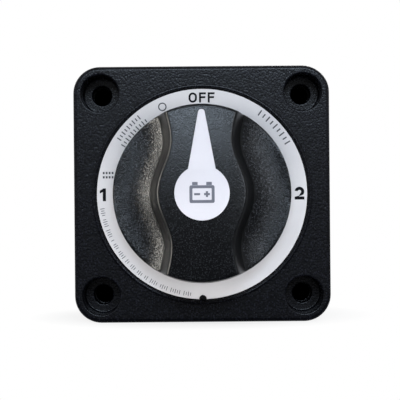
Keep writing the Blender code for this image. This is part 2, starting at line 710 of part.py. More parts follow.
def common_bus():
    """The flat bar from the common stud to the middle of the base, where the moving arm pivots on it."""
    outlines = [obround(STUD_HEAD_RADIUS, -STUD_PITCH, 0), circle((0, -STUD_PITCH), STUD_RADIUS + GAP, 24)]
    return place("common_bus", plate_mesh("common_bus", outlines, PAD_BOTTOM_Z, PAD_TOP_Z), COPPER)


def stud(name, head_bottom, head_top):
    """A terminal stud: a flat contact head inside the chamber and a shank with a chamfered end outside it."""
    x, y = TERMINALS[name]
    edge = HEAD_CHAMFER
    profile = [(0, head_top), (STUD_HEAD_RADIUS - edge, head_top), (STUD_HEAD_RADIUS, head_top - edge)]
    profile += [(STUD_HEAD_RADIUS, head_bottom), (STUD_RADIUS, head_bottom)]
    profile += [(STUD_RADIUS, STUD_END_Z + STUD_CHAMFER), (STUD_RADIUS - STUD_CHAMFER, STUD_END_Z)]
    profile.append((0, STUD_END_Z))
    return turned(f"stud_{name}", profile, TINNED, at=(x, y, 0), segments=24)


def lock_washer_mesh():
    """A spring washer: a ring with one slanted split."""
    low = BASE_BOTTOM_Z - FLAT_WASHER_THICKNESS - LOCK_WASHER_THICKNESS - 2 * GAP
    profile = ring_profile(STUD_RADIUS + GAP, LOCK_WASHER_RADIUS, low, low + LOCK_WASHER_THICKNESS)
    ring = turned("lock_washer_ring", profile, segments=24, closed=True)
    half, tall = LOCK_WASHER_SPLIT / 2, 2 * LOCK_WASHER_THICKNESS
    split = box_mesh("lock_washer_split", (0, LOCK_WASHER_RADIUS + PAST), (-half, half), (-tall, tall))
    split.transform(Matrix.Rotation(LOCK_WASHER_SLANT, 4, "X"))
    split.transform(Matrix.Translation((0, 0, low + LOCK_WASHER_THICKNESS / 2)))
    cut(ring, helper("lock_washer_split", split))
    return evaluated_mesh(ring)


def nut_mesh():
    """A hexagon nut: a six-sided block limited by a cone at each end, with a plain bore."""
    top = BASE_BOTTOM_Z - FLAT_WASHER_THICKNESS - LOCK_WASHER_THICKNESS - 3 * GAP
    low = top - NUT_HEIGHT
    across_corners = NUT_ACROSS_FLATS / math.cos(math.radians(30)) / 2
    nut = helper("nut_hexagon", cylinder_mesh("nut_hexagon", across_corners, low, top, 6))
    edge, face = across_corners + 0.1 * MM, NUT_ACROSS_FLATS / 2
    profile = [(0, top), (face, top), (edge, top - NUT_CHAMFER), (edge, low + NUT_CHAMFER)]
    profile += [(face, low), (0, low)]
    combine(nut, "INTERSECT", turned("nut_chamfer", profile, segments=24))
    bore = cylinder_mesh("nut_bore", STUD_RADIUS + GAP, low - PAST, top + PAST, 16)
    cut(nut, helper("nut_bore", bore))
    return evaluated_mesh(nut)


def terminals():
    stud("1", PAD_BOTTOM_Z, PAD_TOP_Z)
    stud("2", PAD_BOTTOM_Z, PAD_TOP_Z)
    stud("common", PAD_TOP_Z + GAP, COMMON_HEAD_TOP_Z)
    washer_low = BASE_BOTTOM_Z - FLAT_WASHER_THICKNESS - GAP
    washer_high = washer_low + FLAT_WASHER_THICKNESS
    washer = ring_profile(STUD_RADIUS + GAP, FLAT_WASHER_RADIUS, washer_low, washer_high)
    lock_washer, nut = lock_washer_mesh(), nut_mesh()
    for name, (x, y) in TERMINALS.items():
        turn = math.radians(FASTENER_TURNS[name])
        turned(f"flat_washer_{name}", washer, TINNED, at=(x, y, 0), segments=28, closed=True)
        place(f"lock_washer_{name}", lock_washer, STEEL, at=(x, y, 0), turn=turn)
        place(f"stud_nut_{name}", nut, STEEL, at=(x, y, 0), turn=turn / 3)


def recessed_screw_mesh(name, head_radius, shank_radius, length):
    """A pan head screw that points along +Z from its head's seat, with a cross recess in the head."""
    height, point = SCREW_HEAD_HEIGHT, 1.0 * MM
    profile = [(0, length), (shank_radius * 0.5, length), (shank_radius, length - point), (shank_radius, 0)]
    profile += [(head_radius, 0), (head_radius, -height * 0.6), (head_radius * 0.75, -height), (0, -height)]
    screw = turned(f"{name}_body", profile, segments=12)
    arm, width = head_radius * 0.6, head_radius * 0.13
    deep = (-height - PAST, -height * 0.45)
    cut(screw, helper(f"{name}_recess_x", box_mesh("recess", (-arm, arm), (-width, width), deep)))
    cut(screw, helper(f"{name}_recess_y", box_mesh("recess", (-width, width), (-arm, arm), deep)))
    return evaluated_mesh(screw)


def base_screws():
    mesh = recessed_screw_mesh("base_screw", BASE_SCREW_HEAD_RADIUS, BASE_SCREW_RADIUS, BASE_SCREW_LENGTH)
    for index, angle in enumerate(DIAGONALS):
        where = at_radius(BASE_SCREW_REACH, angle, BASE_BOTTOM_Z)
        place(f"base_screw_{index + 1}", mesh, STEEL, at=where, turn=angle / 2)


# ---------------------------------------------------------------- rotor, contacts and detent


def rotor_profile():
    """The outline of the disc, the shaft and the O-ring's groove, from the top down."""
    groove_half = O_RING_THICKNESS + GAP
    groove_radius = O_RING_RADIUS - groove_half
    high, low = O_RING_Z + groove_half, O_RING_Z - groove_half
    profile = [(0, SHAFT_SHOULDER_Z), (SHAFT_RADIUS, SHAFT_SHOULDER_Z)]
    profile += [(SHAFT_RADIUS, high), (groove_radius, high), (groove_radius, low), (SHAFT_RADIUS, low)]
    profile += [(SHAFT_RADIUS, ROTOR_TOP_Z), (ROTOR_RADIUS, ROTOR_TOP_Z)]
    return profile + [(ROTOR_RADIUS, ROTOR_BOTTOM_Z), (0, ROTOR_BOTTOM_Z)]


def plunger_bore():
    """The detent plunger's bore, out towards +X."""
    inner, outer = DETENT_SPRING_START - GAP, ROTOR_RADIUS + 2 * PAST
    bore = cylinder_mesh("plunger_bore", PLUNGER_RADIUS + GAP, inner, outer, 14)
    bore.transform(Matrix.Rotation(math.radians(90), 4, "Y"))
    bore.transform(Matrix.Translation((0, 0, DETENT_Z)))
    return bore


def rotor():
    """The turning carrier: a disc with the shaft above it and a pocket for the contact arm below it."""
    body = turned("rotor", rotor_profile(), NYLON, segments=44)
    half = DRIVE_WIDTH / 2
    drive = box_mesh("drive_square", (-half, half), (-half, half), (SHAFT_SHOULDER_Z - PAST / 2, DRIVE_TOP_Z))
    lug_x, lug_z = (-STOP_LUG_HALF_WIDTH, STOP_LUG_HALF_WIDTH), (ROTOR_TOP_Z - PAST, STOP_LUG_TOP_Z)
    lug = box_mesh("stop_lug", lug_x, (STOP_LUG_INNER, STOP_LUG_OUTER), lug_z)
    pocket_half = ARM_HALF_WIDTH + ARM_CLEARANCE
    skirt_outline = obround(pocket_half + ARM_SKIRT_WALL, 0, STUD_PITCH)
    skirt = plate_mesh("arm_skirt", [skirt_outline], ARM_BOTTOM_Z + 0.8 * MM, ROTOR_BOTTOM_Z + PAST)
    join(body, helper("drive_square", drive), helper("stop_lug", lug), helper("arm_skirt", skirt))
    pocket_outline = obround(pocket_half, 0, STUD_PITCH)
    pocket = plate_mesh("arm_pocket", [pocket_outline], ARM_BOTTOM_Z - PAST, ROTOR_BOTTOM_Z)
    cut(body, helper("arm_pocket", pocket))
    seat_low, seat_high = ROTOR_BOTTOM_Z - PAST, CONTACT_SPRING_TOP_Z + GAP
    for name, y in (("centre", 0), ("outer", STUD_PITCH)):
        seat = cylinder_mesh("spring_seat", SPRING_SEAT_RADIUS, seat_low, seat_high, 16)
        cut(body, helper(f"spring_seat_{name}", seat, at=(0, y, 0)))
    pilot = cylinder_mesh("shaft_pilot", SHAFT_PILOT_RADIUS, SHAFT_PILOT_Z, DRIVE_TOP_Z + PAST, 12)
    cut(body, helper("shaft_pilot", pilot))
    bore = plunger_bore()
    cut(body, helper("plunger_bore_right", bore), helper("plunger_bore_left", bore, turn=math.pi))
    return body


def shaft_o_ring():
    section = arc((O_RING_RADIUS, O_RING_Z), O_RING_THICKNESS, 90, -270, 6)[:-1]
    return turned("shaft_o_ring", section, RUBBER, segments=24, closed=True)


def contact_arm():
    """The copper bar that joins the common bus to stud 1 or stud 2."""
    holes = [circle((0, y), TIP_SHANK_RADIUS + GAP, 12) for y in (0, STUD_PITCH)]
    outlines = [obround(ARM_HALF_WIDTH, 0, STUD_PITCH)] + holes
    arm = place("contact_arm", plate_mesh("contact_arm", outlines, ARM_BOTTOM_Z, ARM_TOP_Z), COPPER)
    tip_bottom, seat = PAD_TOP_Z + GAP, ARM_BOTTOM_Z - GAP
    profile = [(0, ARM_TOP_Z), (TIP_SHANK_RADIUS, ARM_TOP_Z), (TIP_SHANK_RADIUS, seat), (TIP_RADIUS, seat)]
    profile += [(TIP_RADIUS, tip_bottom + TIP_CHAMFER), (TIP_RADIUS - TIP_CHAMFER, tip_bottom)]
    profile.append((0, tip_bottom))
    for name, y in (("centre", 0), ("outer", STUD_PITCH)):
        turned(f"contact_tip_{name}", profile, SILVER, at=(0, y, 0), segments=20)
    return arm


def contact_springs():
    start = ARM_TOP_Z + GAP
    length = CONTACT_SPRING_TOP_Z - start
    size = (CONTACT_SPRING_RADIUS, CONTACT_SPRING_WIRE, length, CONTACT_SPRING_TURNS)
    for name, y in (("centre", 0), ("outer", STUD_PITCH)):
        coil(f"contact_spring_{name}", *size, STEEL, (0, y, start))


def detent(side, turn):
    """A round-nosed plunger and the spring that pushes it outwards into the chamber's notches."""
    nose = arc((0, PLUNGER_TIP - PLUNGER_RADIUS), PLUNGER_RADIUS, 90, 0, 4)
    profile = [(0, PLUNGER_TIP)] + nose[1:] + [(PLUNGER_RADIUS, PLUNGER_INNER), (0, PLUNGER_INNER)]
    plunger = turned(f"detent_plunger_{side}", profile, STEEL, at=(0, 0, DETENT_Z), segments=16)
    plunger.rotation_euler = (0, turn, 0)
    length = PLUNGER_INNER - GAP - DETENT_SPRING_START
    size = (DETENT_SPRING_RADIUS, DETENT_SPRING_WIRE, length, DETENT_SPRING_TURNS)
    start = math.copysign(DETENT_SPRING_START, math.sin(turn))
    coil(f"detent_spring_{side}", *size, STEEL, (start, 0, DETENT_Z), turn)


# ---------------------------------------------------------------- knob


ROUND_RUN = EDGE_ROUND * math.sin(WALL_ANGLE)
ROUND_DROP = EDGE_ROUND * (1 - math.cos(WALL_ANGLE))
FOOT_RUN = FOOT_RADIUS * (math.sin(WALL_ANGLE) - math.sin(SCOOP_ANGLE))
FOOT_DROP = FOOT_RADIUS * (math.cos(SCOOP_ANGLE) - math.cos(WALL_ANGLE))
SCOOP_RUN = SCOOP_RADIUS * math.sin(SCOOP_ANGLE)
SCOOP_DROP = SCOOP_RADIUS * (1 - math.cos(SCOOP_ANGLE))
TOTAL_DROP = KNOB_TOP_Z - SCOOP_FLOOR_Z
WALL_DROP = TOTAL_DROP - ROUND_DROP - FOOT_DROP - SCOOP_DROP
WALL_RUN = WALL_DROP / math.tan(WALL_ANGLE)
FLOOR_REACH = WALL_RUN + FOOT_RUN + SCOOP_RUN


def grip_half_width(y):
    """Half the width of the grip's top: swollen round the hub, waisted, then flared towards both ends."""
    swell = flare = 0.0
    if abs(y) < SWELL_REACH:
        swell = GRIP_SWELL * math.cos(math.pi * y / (2 * SWELL_REACH)) ** 2
    if abs(y) > FLARE_START:
        flare = GRIP_FLARE * ((abs(y) - FLARE_START) / FLARE_LENGTH) ** 2
    return GRIP_WAIST + swell + flare


def grip_top(x, y):
    """Height of the grip's gently arched and crowned top."""
    return KNOB_TOP_Z - ARCH_DROP * (y / GRIP_LENGTH_HALF) ** 2 - CROWN_DROP * (x / GRIP_WAIST) ** 2


def scoop_drop(d):
    """How far the surface has fallen at a distance d outside the grip's edge: round, wall, foot, scoop."""
    if d <= -ROUND_RUN:
        return 0.0
    if d <= 0:
        return EDGE_ROUND - math.sqrt(EDGE_ROUND**2 - (d + ROUND_RUN) ** 2)
    if d <= WALL_RUN:
        return ROUND_DROP + d * math.tan(WALL_ANGLE)
    if d <= WALL_RUN + FOOT_RUN:
        across = FOOT_RADIUS * math.sin(WALL_ANGLE) - (d - WALL_RUN)
        rise = math.sqrt(FOOT_RADIUS**2 - across**2)
        return ROUND_DROP + WALL_DROP + rise - FOOT_RADIUS * math.cos(WALL_ANGLE)
    across = FLOOR_REACH - d
    return TOTAL_DROP - SCOOP_RADIUS + math.sqrt(max(0.0, SCOOP_RADIUS**2 - across**2))


def knob_surface(x, y):
    top = grip_top(min(abs(x), grip_half_width(y)), y)
    share = scoop_drop(abs(x) - grip_half_width(y)) / TOTAL_DROP
    return top - share * (top - SCOOP_FLOOR_Z)


def sculpted_block_mesh():
    """A block whose top is the knob's surface. Its grid lines follow the grip's wavy edge."""
    offsets = [-ROUND_RUN * 0.5, -ROUND_RUN * 0.13, 0.0]
    offsets += [WALL_RUN, WALL_RUN + FOOT_RUN / 2, WALL_RUN + FOOT_RUN]
    offsets += [FLOOR_REACH - SCOOP_RUN * share for share in (0.75, 0.45, 0.15, -0.15, -0.45)]
    offsets.append(FLOOR_REACH + SCOOP_RADIUS * 0.9)
    columns, rows = 2 * (len(offsets) + 2), 24
    reach = KNOB_BASE_RADIUS + 2 * PAST
    bm = bmesh.new()
    bmesh.ops.create_grid(bm, x_segments=columns, y_segments=rows, size=1.0)
    for v in bm.verts:
        step = round((v.co.x + 1) / 2 * columns) - columns // 2
        y = v.co.y * reach
        flat = grip_half_width(y) - ROUND_RUN
        if abs(step) <= 2:
            x = flat * abs(step) / 2
        else:
            x = grip_half_width(y) + offsets[abs(step) - 3]
        v.co = Vector((math.copysign(x, step), y, knob_surface(x, y)))
    made = bmesh.ops.extrude_face_region(bm, geom=bm.faces[:])
    for v in made["geom"]:
        if isinstance(v, bmesh.types.BMVert):
            v.co.z = KNOB_BOTTOM_Z - PAST
    return mesh_from(bm, "knob")


def pointer_outline(grow=0.0):
    """The insert's outline: a disc with a tapered pointer and a rounded tip, grown sideways by grow."""
    disc, tip = DISC_RADIUS + grow, POINTER_TIP_RADIUS + grow
    root_half = POINTER_ROOT_HALF + grow
    root = math.degrees(math.acos(root_half / disc))
    outline = arc((0, 0), disc, 180 - root, 360 + root, 24)
    return outline + arc((0, POINTER_LENGTH - POINTER_TIP_RADIUS), tip, 10, 170, 5)


def arched_plate_mesh(name, outline, z_low, z_high):
    """A plate that follows the arch along the top of the grip."""
    mesh = plate_mesh(name, [outline], z_low, z_high)
    bm = bmesh.new()
    bm.from_mesh(mesh)
    for step in range(-2, 8):
        geometry = bm.verts[:] + bm.edges[:] + bm.faces[:]
        bmesh.ops.bisect_plane(bm, geom=geometry, plane_co=(0, step * 3 * MM, 0), plane_no=(0, 1, 0))
    for v in bm.verts:
        v.co.z -= ARCH_DROP * (v.co.y / GRIP_LENGTH_HALF) ** 2
    bmesh.ops.triangulate(bm, faces=bm.faces)
    bm.to_mesh(mesh)
    bm.free()
    return mesh


def hollow_knob(body):
    """Cuts the grip's cavity and the undercut over the bush from below, and leaves a hub in the middle."""
    steps = 14
    ys = [CAVITY_HALF_LENGTH * (2 * i / steps - 1) for i in range(steps + 1)]
    right = [(grip_half_width(y) - KNOB_SHELL, y) for y in ys]
    outline = right + [(-x, y) for x, y in reversed(right)]
    cavity = plate_mesh("grip_cavity", [outline], KNOB_BOTTOM_Z - PAST, CAVITY_TOP_Z)
    undercut = cylinder_mesh("undercut", UNDERCUT_RADIUS, KNOB_BOTTOM_Z - PAST, UNDERCUT_TOP_Z, 36)
    cut(body, helper("grip_cavity", cavity), helper("undercut", undercut))
    hub = cylinder_mesh("knob_hub", HUB_RADIUS, UNDERCUT_TOP_Z + 0.2 * MM, CAVITY_TOP_Z + 0.7 * MM, 20)
    join(body, helper("knob_hub", hub))


def cut_knob_seats(body):
    """Cuts the square socket, the screw's hole and head seat, and the pointer's pocket."""
    half = DRIVE_WIDTH / 2 + GAP
    socket_z = (UNDERCUT_TOP_Z - PAST, DRIVE_TOP_Z + GAP)
    socket = box_mesh("drive_socket", (-half, half), (-half, half), socket_z)
    screw_hole = cylinder_mesh("screw_hole", SHAFT_PILOT_RADIUS, DRIVE_TOP_Z - PAST, SCREW_SEAT_Z + PAST, 12)
    head_seat = cylinder_mesh("head_seat", SCREW_SEAT_RADIUS, SCREW_SEAT_Z, KNOB_TOP_Z + PAST, 18)
    cut(body, helper("drive_socket", socket), helper("screw_hole", screw_hole))
    cut(body, helper("head_seat", head_seat))
    outline = pointer_outline(grow=GAP / 2)
    pocket = arched_plate_mesh("pointer_pocket", outline, KNOB_TOP_Z - POCKET_DEPTH, KNOB_TOP_Z + PAST)
    cut(body, helper("pointer_pocket", pocket))


def knob():
    body = place("knob", sculpted_block_mesh(), KNOB_PLASTIC)
    top = KNOB_TOP_Z + 2 * PAST
    top_radius = KNOB_BASE_RADIUS - (top - KNOB_BOTTOM_Z) * math.tan(KNOB_DRAFT)
    barrel = cylinder_mesh("knob_barrel", KNOB_BASE_RADIUS, KNOB_BOTTOM_Z, top, 56, top_radius)
    combine(body, "INTERSECT", helper("knob_barrel", barrel))
    hollow_knob(body)
    cut_knob_seats(body)
    return smooth(body, 40)


def pointer_insert():
    mesh = arched_plate_mesh("pointer_insert", pointer_outline(), KNOB_TOP_Z - INSERT_THICKNESS, KNOB_TOP_Z)
    return place("pointer_insert", mesh, POINTER_WHITE)


def knob_screw():
    mesh = recessed_screw_mesh("knob_screw", KNOB_SCREW_HEAD_RADIUS, KNOB_SCREW_RADIUS, KNOB_SCREW_LENGTH)
    mesh.transform(Matrix.Rotation(math.pi, 4, "X"))
    return place("knob_screw", mesh, STEEL, at=(0, 0, SCREW_SEAT_Z + GAP))


# ---------------------------------------------------------------- assembly

front_housing()
legend_ring()
rear_frame()
side_panels()
rear_cover()
contact_base()
base_gasket()
common_bus()
terminals()
base_screws()
rotor()
shaft_o_ring()
contact_arm()
contact_springs()
detent("right", math.radians(90))
detent("left", math.radians(-90))
knob()
pointer_insert()
knob_screw()
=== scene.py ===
"""Looks of the battery selector switch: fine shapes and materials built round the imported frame.

Shapes are made in the dial's frame, X to the right, Y up towards OFF and Z out towards the user, and are
then stood upright to match the frame, where the dial faces -Y and OFF is up.
"""

import json
import math

import bmesh
import bpy
from mathutils import Matrix, Vector

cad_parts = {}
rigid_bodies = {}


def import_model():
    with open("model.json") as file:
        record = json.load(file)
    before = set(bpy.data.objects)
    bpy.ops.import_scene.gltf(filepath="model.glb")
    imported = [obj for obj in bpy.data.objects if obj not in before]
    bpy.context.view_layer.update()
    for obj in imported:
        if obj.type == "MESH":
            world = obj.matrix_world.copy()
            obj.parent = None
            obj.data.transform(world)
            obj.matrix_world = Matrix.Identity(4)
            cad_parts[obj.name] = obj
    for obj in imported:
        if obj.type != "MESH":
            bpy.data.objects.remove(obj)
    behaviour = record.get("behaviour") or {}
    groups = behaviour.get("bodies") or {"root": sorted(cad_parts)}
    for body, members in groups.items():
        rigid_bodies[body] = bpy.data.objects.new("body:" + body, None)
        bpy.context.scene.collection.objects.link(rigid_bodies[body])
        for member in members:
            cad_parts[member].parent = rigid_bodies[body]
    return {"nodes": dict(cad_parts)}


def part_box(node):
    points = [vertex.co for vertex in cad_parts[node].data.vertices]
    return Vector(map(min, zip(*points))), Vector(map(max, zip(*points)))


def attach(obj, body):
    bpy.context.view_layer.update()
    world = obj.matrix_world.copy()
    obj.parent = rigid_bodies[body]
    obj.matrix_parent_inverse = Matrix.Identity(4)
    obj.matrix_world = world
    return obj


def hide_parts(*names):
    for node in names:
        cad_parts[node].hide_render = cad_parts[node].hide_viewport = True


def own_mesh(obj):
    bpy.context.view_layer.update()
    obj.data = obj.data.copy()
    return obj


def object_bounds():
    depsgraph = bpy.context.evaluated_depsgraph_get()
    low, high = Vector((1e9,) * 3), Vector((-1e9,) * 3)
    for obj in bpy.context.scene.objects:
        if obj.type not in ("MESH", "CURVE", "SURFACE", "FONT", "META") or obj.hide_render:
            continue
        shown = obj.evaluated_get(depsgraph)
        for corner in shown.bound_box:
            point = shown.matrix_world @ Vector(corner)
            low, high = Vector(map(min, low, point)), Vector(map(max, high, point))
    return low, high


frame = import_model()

CAD_LOW, CAD_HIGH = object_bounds()
SCENE = bpy.context.scene
STAND_UP = Matrix.Rotation(math.radians(90), 4, "X")
MM = 0.001


def mm(*sizes):
    """Sizes given in millimetres, in metres."""
    return tuple(size * MM for size in sizes)


def dial_box(node):
    """A CAD node's lowest and highest corners in the dial's frame."""
    low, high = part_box(node)
    return Vector((low.x, low.z, -high.y)), Vector((high.x, high.z, -low.y))


def dial_centre(node):
    low, high = dial_box(node)
    return (low + high) / 2


# Sizes read from the frame
HALF_FACE, _, SEAM_LOW_Z = dial_box("rear_frame")[1]
RING_LOW_Z = dial_box("legend_ring")[0].z
RING_OUTER, _, FACE_Z = dial_box("legend_ring")[1]
HOUSING_END_Z = dial_box("front_housing")[0].z
BUSH_TOP_Z = dial_box("front_housing")[1].z
KNOB_BOTTOM_Z = dial_box("knob")[0].z
KNOB_RADIUS = dial_box("knob")[1].x
DISC_RADIUS, POINTER_LENGTH, KNOB_TOP_Z = dial_box("pointer_insert")[1]
COVER_HALF = dial_box("rear_cover")[1].x
TERMINALS = {name: dial_centre(f"stud_nut_{name}") * Vector((1, 1, 0)) for name in ("1", "2", "common")}

# Sizes of the moulded details
CORNER_RADIUS, FACE_ROUND, SEAM_ROUND, FRAME_WALL = mm(7.25, 1.1, 0.25, 2.3)
INNER_HALF = HALF_FACE - FRAME_WALL
SEAM_Z = SEAM_LOW_Z + 0.15 * MM
HOLE_OFFSET, HOLE_RADIUS, COUNTERBORE_RADIUS, COUNTERBORE_DEPTH = mm(27.5, 2.65, 5.05, 8.2)
HOLE_REACH = HOLE_OFFSET * math.sqrt(2)
COLUMN_RADIUS, BASE_SCREW_REACH = mm(5.8, 29.6)
RECESS_INNER, RECESS_OUTER, LIP_OUTER, LIP_HEIGHT = mm(21.5, 28.9, 29.9, 0.32)
BUSH_RADIUS, SHAFT_BORE_RADIUS, CHAMBER_RADIUS, CHAMBER_WALL = mm(11, 7.3, 25, 2.5)
FRONT_WALL_Z = FACE_Z - 3.5 * MM
WINDOW_HALF, WINDOW_TOP_Z = mm(19, 24)
ACCESS_RADIUS, COVER_THICKNESS, STUD_RADIUS, KEY_REACH = mm(10.5, 2, 5, 28.4)

DIAGONALS = [math.radians(a) for a in (45, 135, 225, 315)]
QUARTERS = [math.radians(a) for a in (0, 90, 180, 270)]


# ---- mesh helpers


def clamped(value):
    return min(max(value, 0.0), 1.0)


def at_radius(radius, angle, z=0.0):
    return Vector((radius * math.cos(angle), radius * math.sin(angle), z))


HOLES = [at_radius(HOLE_REACH, angle) for angle in DIAGONALS]
BASE_SCREWS = [at_radius(BASE_SCREW_REACH, angle) for angle in DIAGONALS]


def arc(centre, radius, start, end, steps):
    """Points on an arc from the start to the end angle, in degrees, both included."""
    angles = [math.radians(start + (end - start) * i / steps) for i in range(steps + 1)]
    return [(centre[0] + radius * math.cos(a), centre[1] + radius * math.sin(a)) for a in angles]


def circle(centre, radius, segments):
    return arc(centre, radius, 0, 360, segments)[:-1]


def new_object(name, data):
    obj = bpy.data.objects.new(name, data)
    SCENE.collection.objects.link(obj)
    return obj


def object_from(bm, name, at=(0, 0, 0), turn=0.0):
    """An object in the dial's frame, not yet stood upright."""
    bmesh.ops.recalc_face_normals(bm, faces=bm.faces)
    bmesh.ops.transform(bm, matrix=Matrix.Translation(at) @ Matrix.Rotation(turn, 4, "Z"), verts=bm.verts)
    mesh = bpy.data.meshes.new(name)
    bm.to_mesh(mesh)
    bm.free()
    return new_object(name, mesh)


def loft(name, rings, at=(0, 0, 0), turn=0.0, closed=False):
    """Quads between neighbouring rings of points. A ring of one point is a tip. Open ends are capped."""
    bm = bmesh.new()
    made = [[bm.verts.new(point) for point in ring] for ring in rings]
    pairs = list(zip(made, made[1:]))
    if closed:
        pairs.append((made[-1], made[0]))
    for low, high in pairs:
        count = max(len(low), len(high))
        for i in range(count):
            j = (i + 1) % count
            corners = [low[i % len(low)], low[j % len(low)], high[j % len(high)], high[i % len(high)]]
            bm.faces.new(dict.fromkeys(corners))
    if not closed:
        for end in (made[0], made[-1]):
            if len(end) > 2:
                bm.faces.new(end)
    return object_from(bm, name, at, turn)


def ring_at(radius, z, segments):
    """Points of a level circle about Z."""
    return [(x, y, z) for x, y in circle((0, 0), radius, segments)]


def lathe(name, profile, at=(0, 0, 0), segments=96, closed=False, turn=0.0):
    """A shape turned about Z from (radius, z) points."""
    rings = [[(0, 0, z)] if radius < MM / 1000 else ring_at(radius, z, segments) for radius, z in profile]
    return loft(name, rings, at, turn, closed)


def rod(name, radius, low, high, at=(0, 0, 0), segments=96, turn=0.0):
    return lathe(name, [(0, low), (radius, low), (radius, high), (0, high)], at, segments, turn=turn)


def rounded_bar(x, y, half_w, half_h, corner, steps=5):
    points = []
    for quarter, (sx, sy) in enumerate(((1, 1), (-1, 1), (-1, -1), (1, -1))):
        centre = (x + sx * (half_w - corner), y + sy * (half_h - corner))
        points += arc(centre, corner, 90 * quarter, 90 * quarter + 90, steps)
    return points


def block(name, half, corner, layers, steps=10):
    """A square block with rounded corners, as a stack of outlines given as (inset, z)."""
    rings = []
    for inset, z in layers:
        side = half - inset
        outline = rounded_bar(0, 0, side, side, max(corner - inset, 0.2 * MM), steps)
        rings.append([(x, y, z) for x, y in outline])
    return loft(name, rings)


def rounding(radius, z, upwards, steps):
    """Layers of a rounded edge that ends at height z, going up or down, as (inset, z)."""
    sign = 1 if upwards else -1
    layers = []
    for i in range(steps + 1):
        angle = math.pi / 2 * i / steps
        layers.append((radius * (1 - math.cos(angle)), z - sign * radius * (1 - math.sin(angle))))
    return layers if upwards else layers[::-1]


def box(name, x, y, z, turn=0.0):
    bm = bmesh.new()
    bmesh.ops.create_cube(bm, size=1)
    for v in bm.verts:
        for axis, (low, high) in enumerate((x, y, z)):
            v.co[axis] = low if v.co[axis] < 0 else high
    return object_from(bm, name, turn=turn)


def plate(name, outlines, z_low, z_high, bevel=0.0):
    """A flat plate from a filled 2D curve, in which outlines inside others are holes."""
    curve = bpy.data.curves.new(name, "CURVE")
    curve.dimensions = "2D"
    curve.fill_mode = "BOTH"
    curve.extrude = (z_high - z_low) / 2 - bevel
    curve.bevel_depth = bevel
    curve.offset = -bevel
    curve.bevel_resolution = 1
    for outline in outlines:
        spline = curve.splines.new("POLY")
        spline.points.add(len(outline) - 1)
        for point, (x, y) in zip(spline.points, outline):
            point.co = (x, y, 0, 1)
        spline.use_cyclic_u = True
    source = new_object(name, curve)
    mesh = evaluated_mesh(source)
    bpy.data.objects.remove(source)
    bm = bmesh.new()
    bm.from_mesh(mesh)
    bpy.data.meshes.remove(mesh)
    bmesh.ops.remove_doubles(bm, verts=bm.verts, dist=MM / 1000)
    return object_from(bm, name, at=(0, 0, (z_low + z_high) / 2))


def evaluated_mesh(obj):
    bpy.context.view_layer.update()
    graph = bpy.context.evaluated_depsgraph_get()
    return bpy.data.meshes.new_from_object(obj.evaluated_get(graph), depsgraph=graph)


def bake(obj):
    """Replaces the object's mesh by what its modifiers make of it."""
    mesh = evaluated_mesh(obj)
    obj.modifiers.clear()
    old = obj.data
    obj.data = mesh
    bpy.data.meshes.remove(old)


def combine(target, operation, others):
    """Applies a Boolean with each of the others, which are used up."""
    for other in others:
        modifier = target.modifiers.new(operation.lower(), "BOOLEAN")
        modifier.operation = operation
        modifier.object = other
    bake(target)
    for other in others:
        bpy.data.objects.remove(other)
    return target


def cut(target, *cutters):
    return combine(target, "DIFFERENCE", cutters)


def join(target, *others):
    return combine(target, "UNION", others)


def add_bevel(obj, width, angle=35):
    bevel = obj.modifiers.new("edges", "BEVEL")
    bevel.width = width
    bevel.segments = 2
    bevel.limit_method = "ANGLE"
    bevel.angle_limit = math.radians(angle)


def soften(obj, width, angle=35):
    """Rounds the edges that the Booleans left sharp, and keeps the flat faces flat."""
    add_bevel(obj, width, angle)
    obj.data.shade_smooth()
    obj.modifiers.new("normals", "WEIGHTED_NORMAL").keep_sharp = True
    return obj


def shade(obj, angle=35):
    obj.data.shade_smooth()
    obj.data.set_sharp_from_angle(angle=math.radians(angle))
    return obj


def paint(obj, material):
    obj.data.materials.clear()
    obj.data.materials.append(material)


def finished(obj, material, *nodes, body="housing"):
    """Stands a piece upright, gives it its material and its body, and hides the CAD nodes it stands for."""
    obj.data.transform(STAND_UP)
    paint(obj, material)
    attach(obj, body)
    if nodes:
        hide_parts(*nodes)
    return obj


# ---- materials


def add(tree, kind, inputs=None, **settings):
    """A shader node with its settings, and with its inputs set to values or linked to sockets."""
    made = tree.nodes.new("ShaderNode" + kind)
    for key, value in settings.items():
        setattr(made, key, value)
    for key, value in (inputs or {}).items():
        if isinstance(value, bpy.types.NodeSocket):
            tree.links.new(value, made.inputs[key])
        else:
            made.inputs[key].default_value = value
    return made


def new_material(name):
    material = bpy.data.materials.new(name)
    material.use_nodes = True
    tree = material.node_tree
    coords = add(tree, "TexCoord").outputs["Object"]
    return material, tree, tree.nodes["Principled BSDF"], coords


def noise(tree, coords, size, detail=3.0, roughness=0.55):
    """Noise whose grains are about size across."""
    inputs = {"Vector": coords, "Scale": 1 / size, "Detail": detail, "Roughness": roughness}
    return add(tree, "TexNoise", inputs).outputs["Fac"]


def remap(tree, value, low, high, to_low, to_high):
    inputs = {"Value": value, "From Min": low, "From Max": high, "To Min": to_low, "To Max": to_high}
    return add(tree, "MapRange", inputs).outputs["Result"]


def spread(tree, value, low, high):
    """Noise, which mostly lies between 0.3 and 0.7, spread over a range."""
    return remap(tree, value, 0.3, 0.7, low, high)


def math_node(tree, operation, first, second):
    return add(tree, "Math", {0: first, 1: second}, operation=operation).outputs[0]


def times(tree, first, second):
    return math_node(tree, "MULTIPLY", first, second)


def mix_colour(tree, share, first, second):
    return add(tree, "Mix", {0: share, 6: first, 7: second}, data_type="RGBA").outputs[2]


def grey(colour, factor=1.0):
    return tuple(c * factor for c in colour) + (1,)


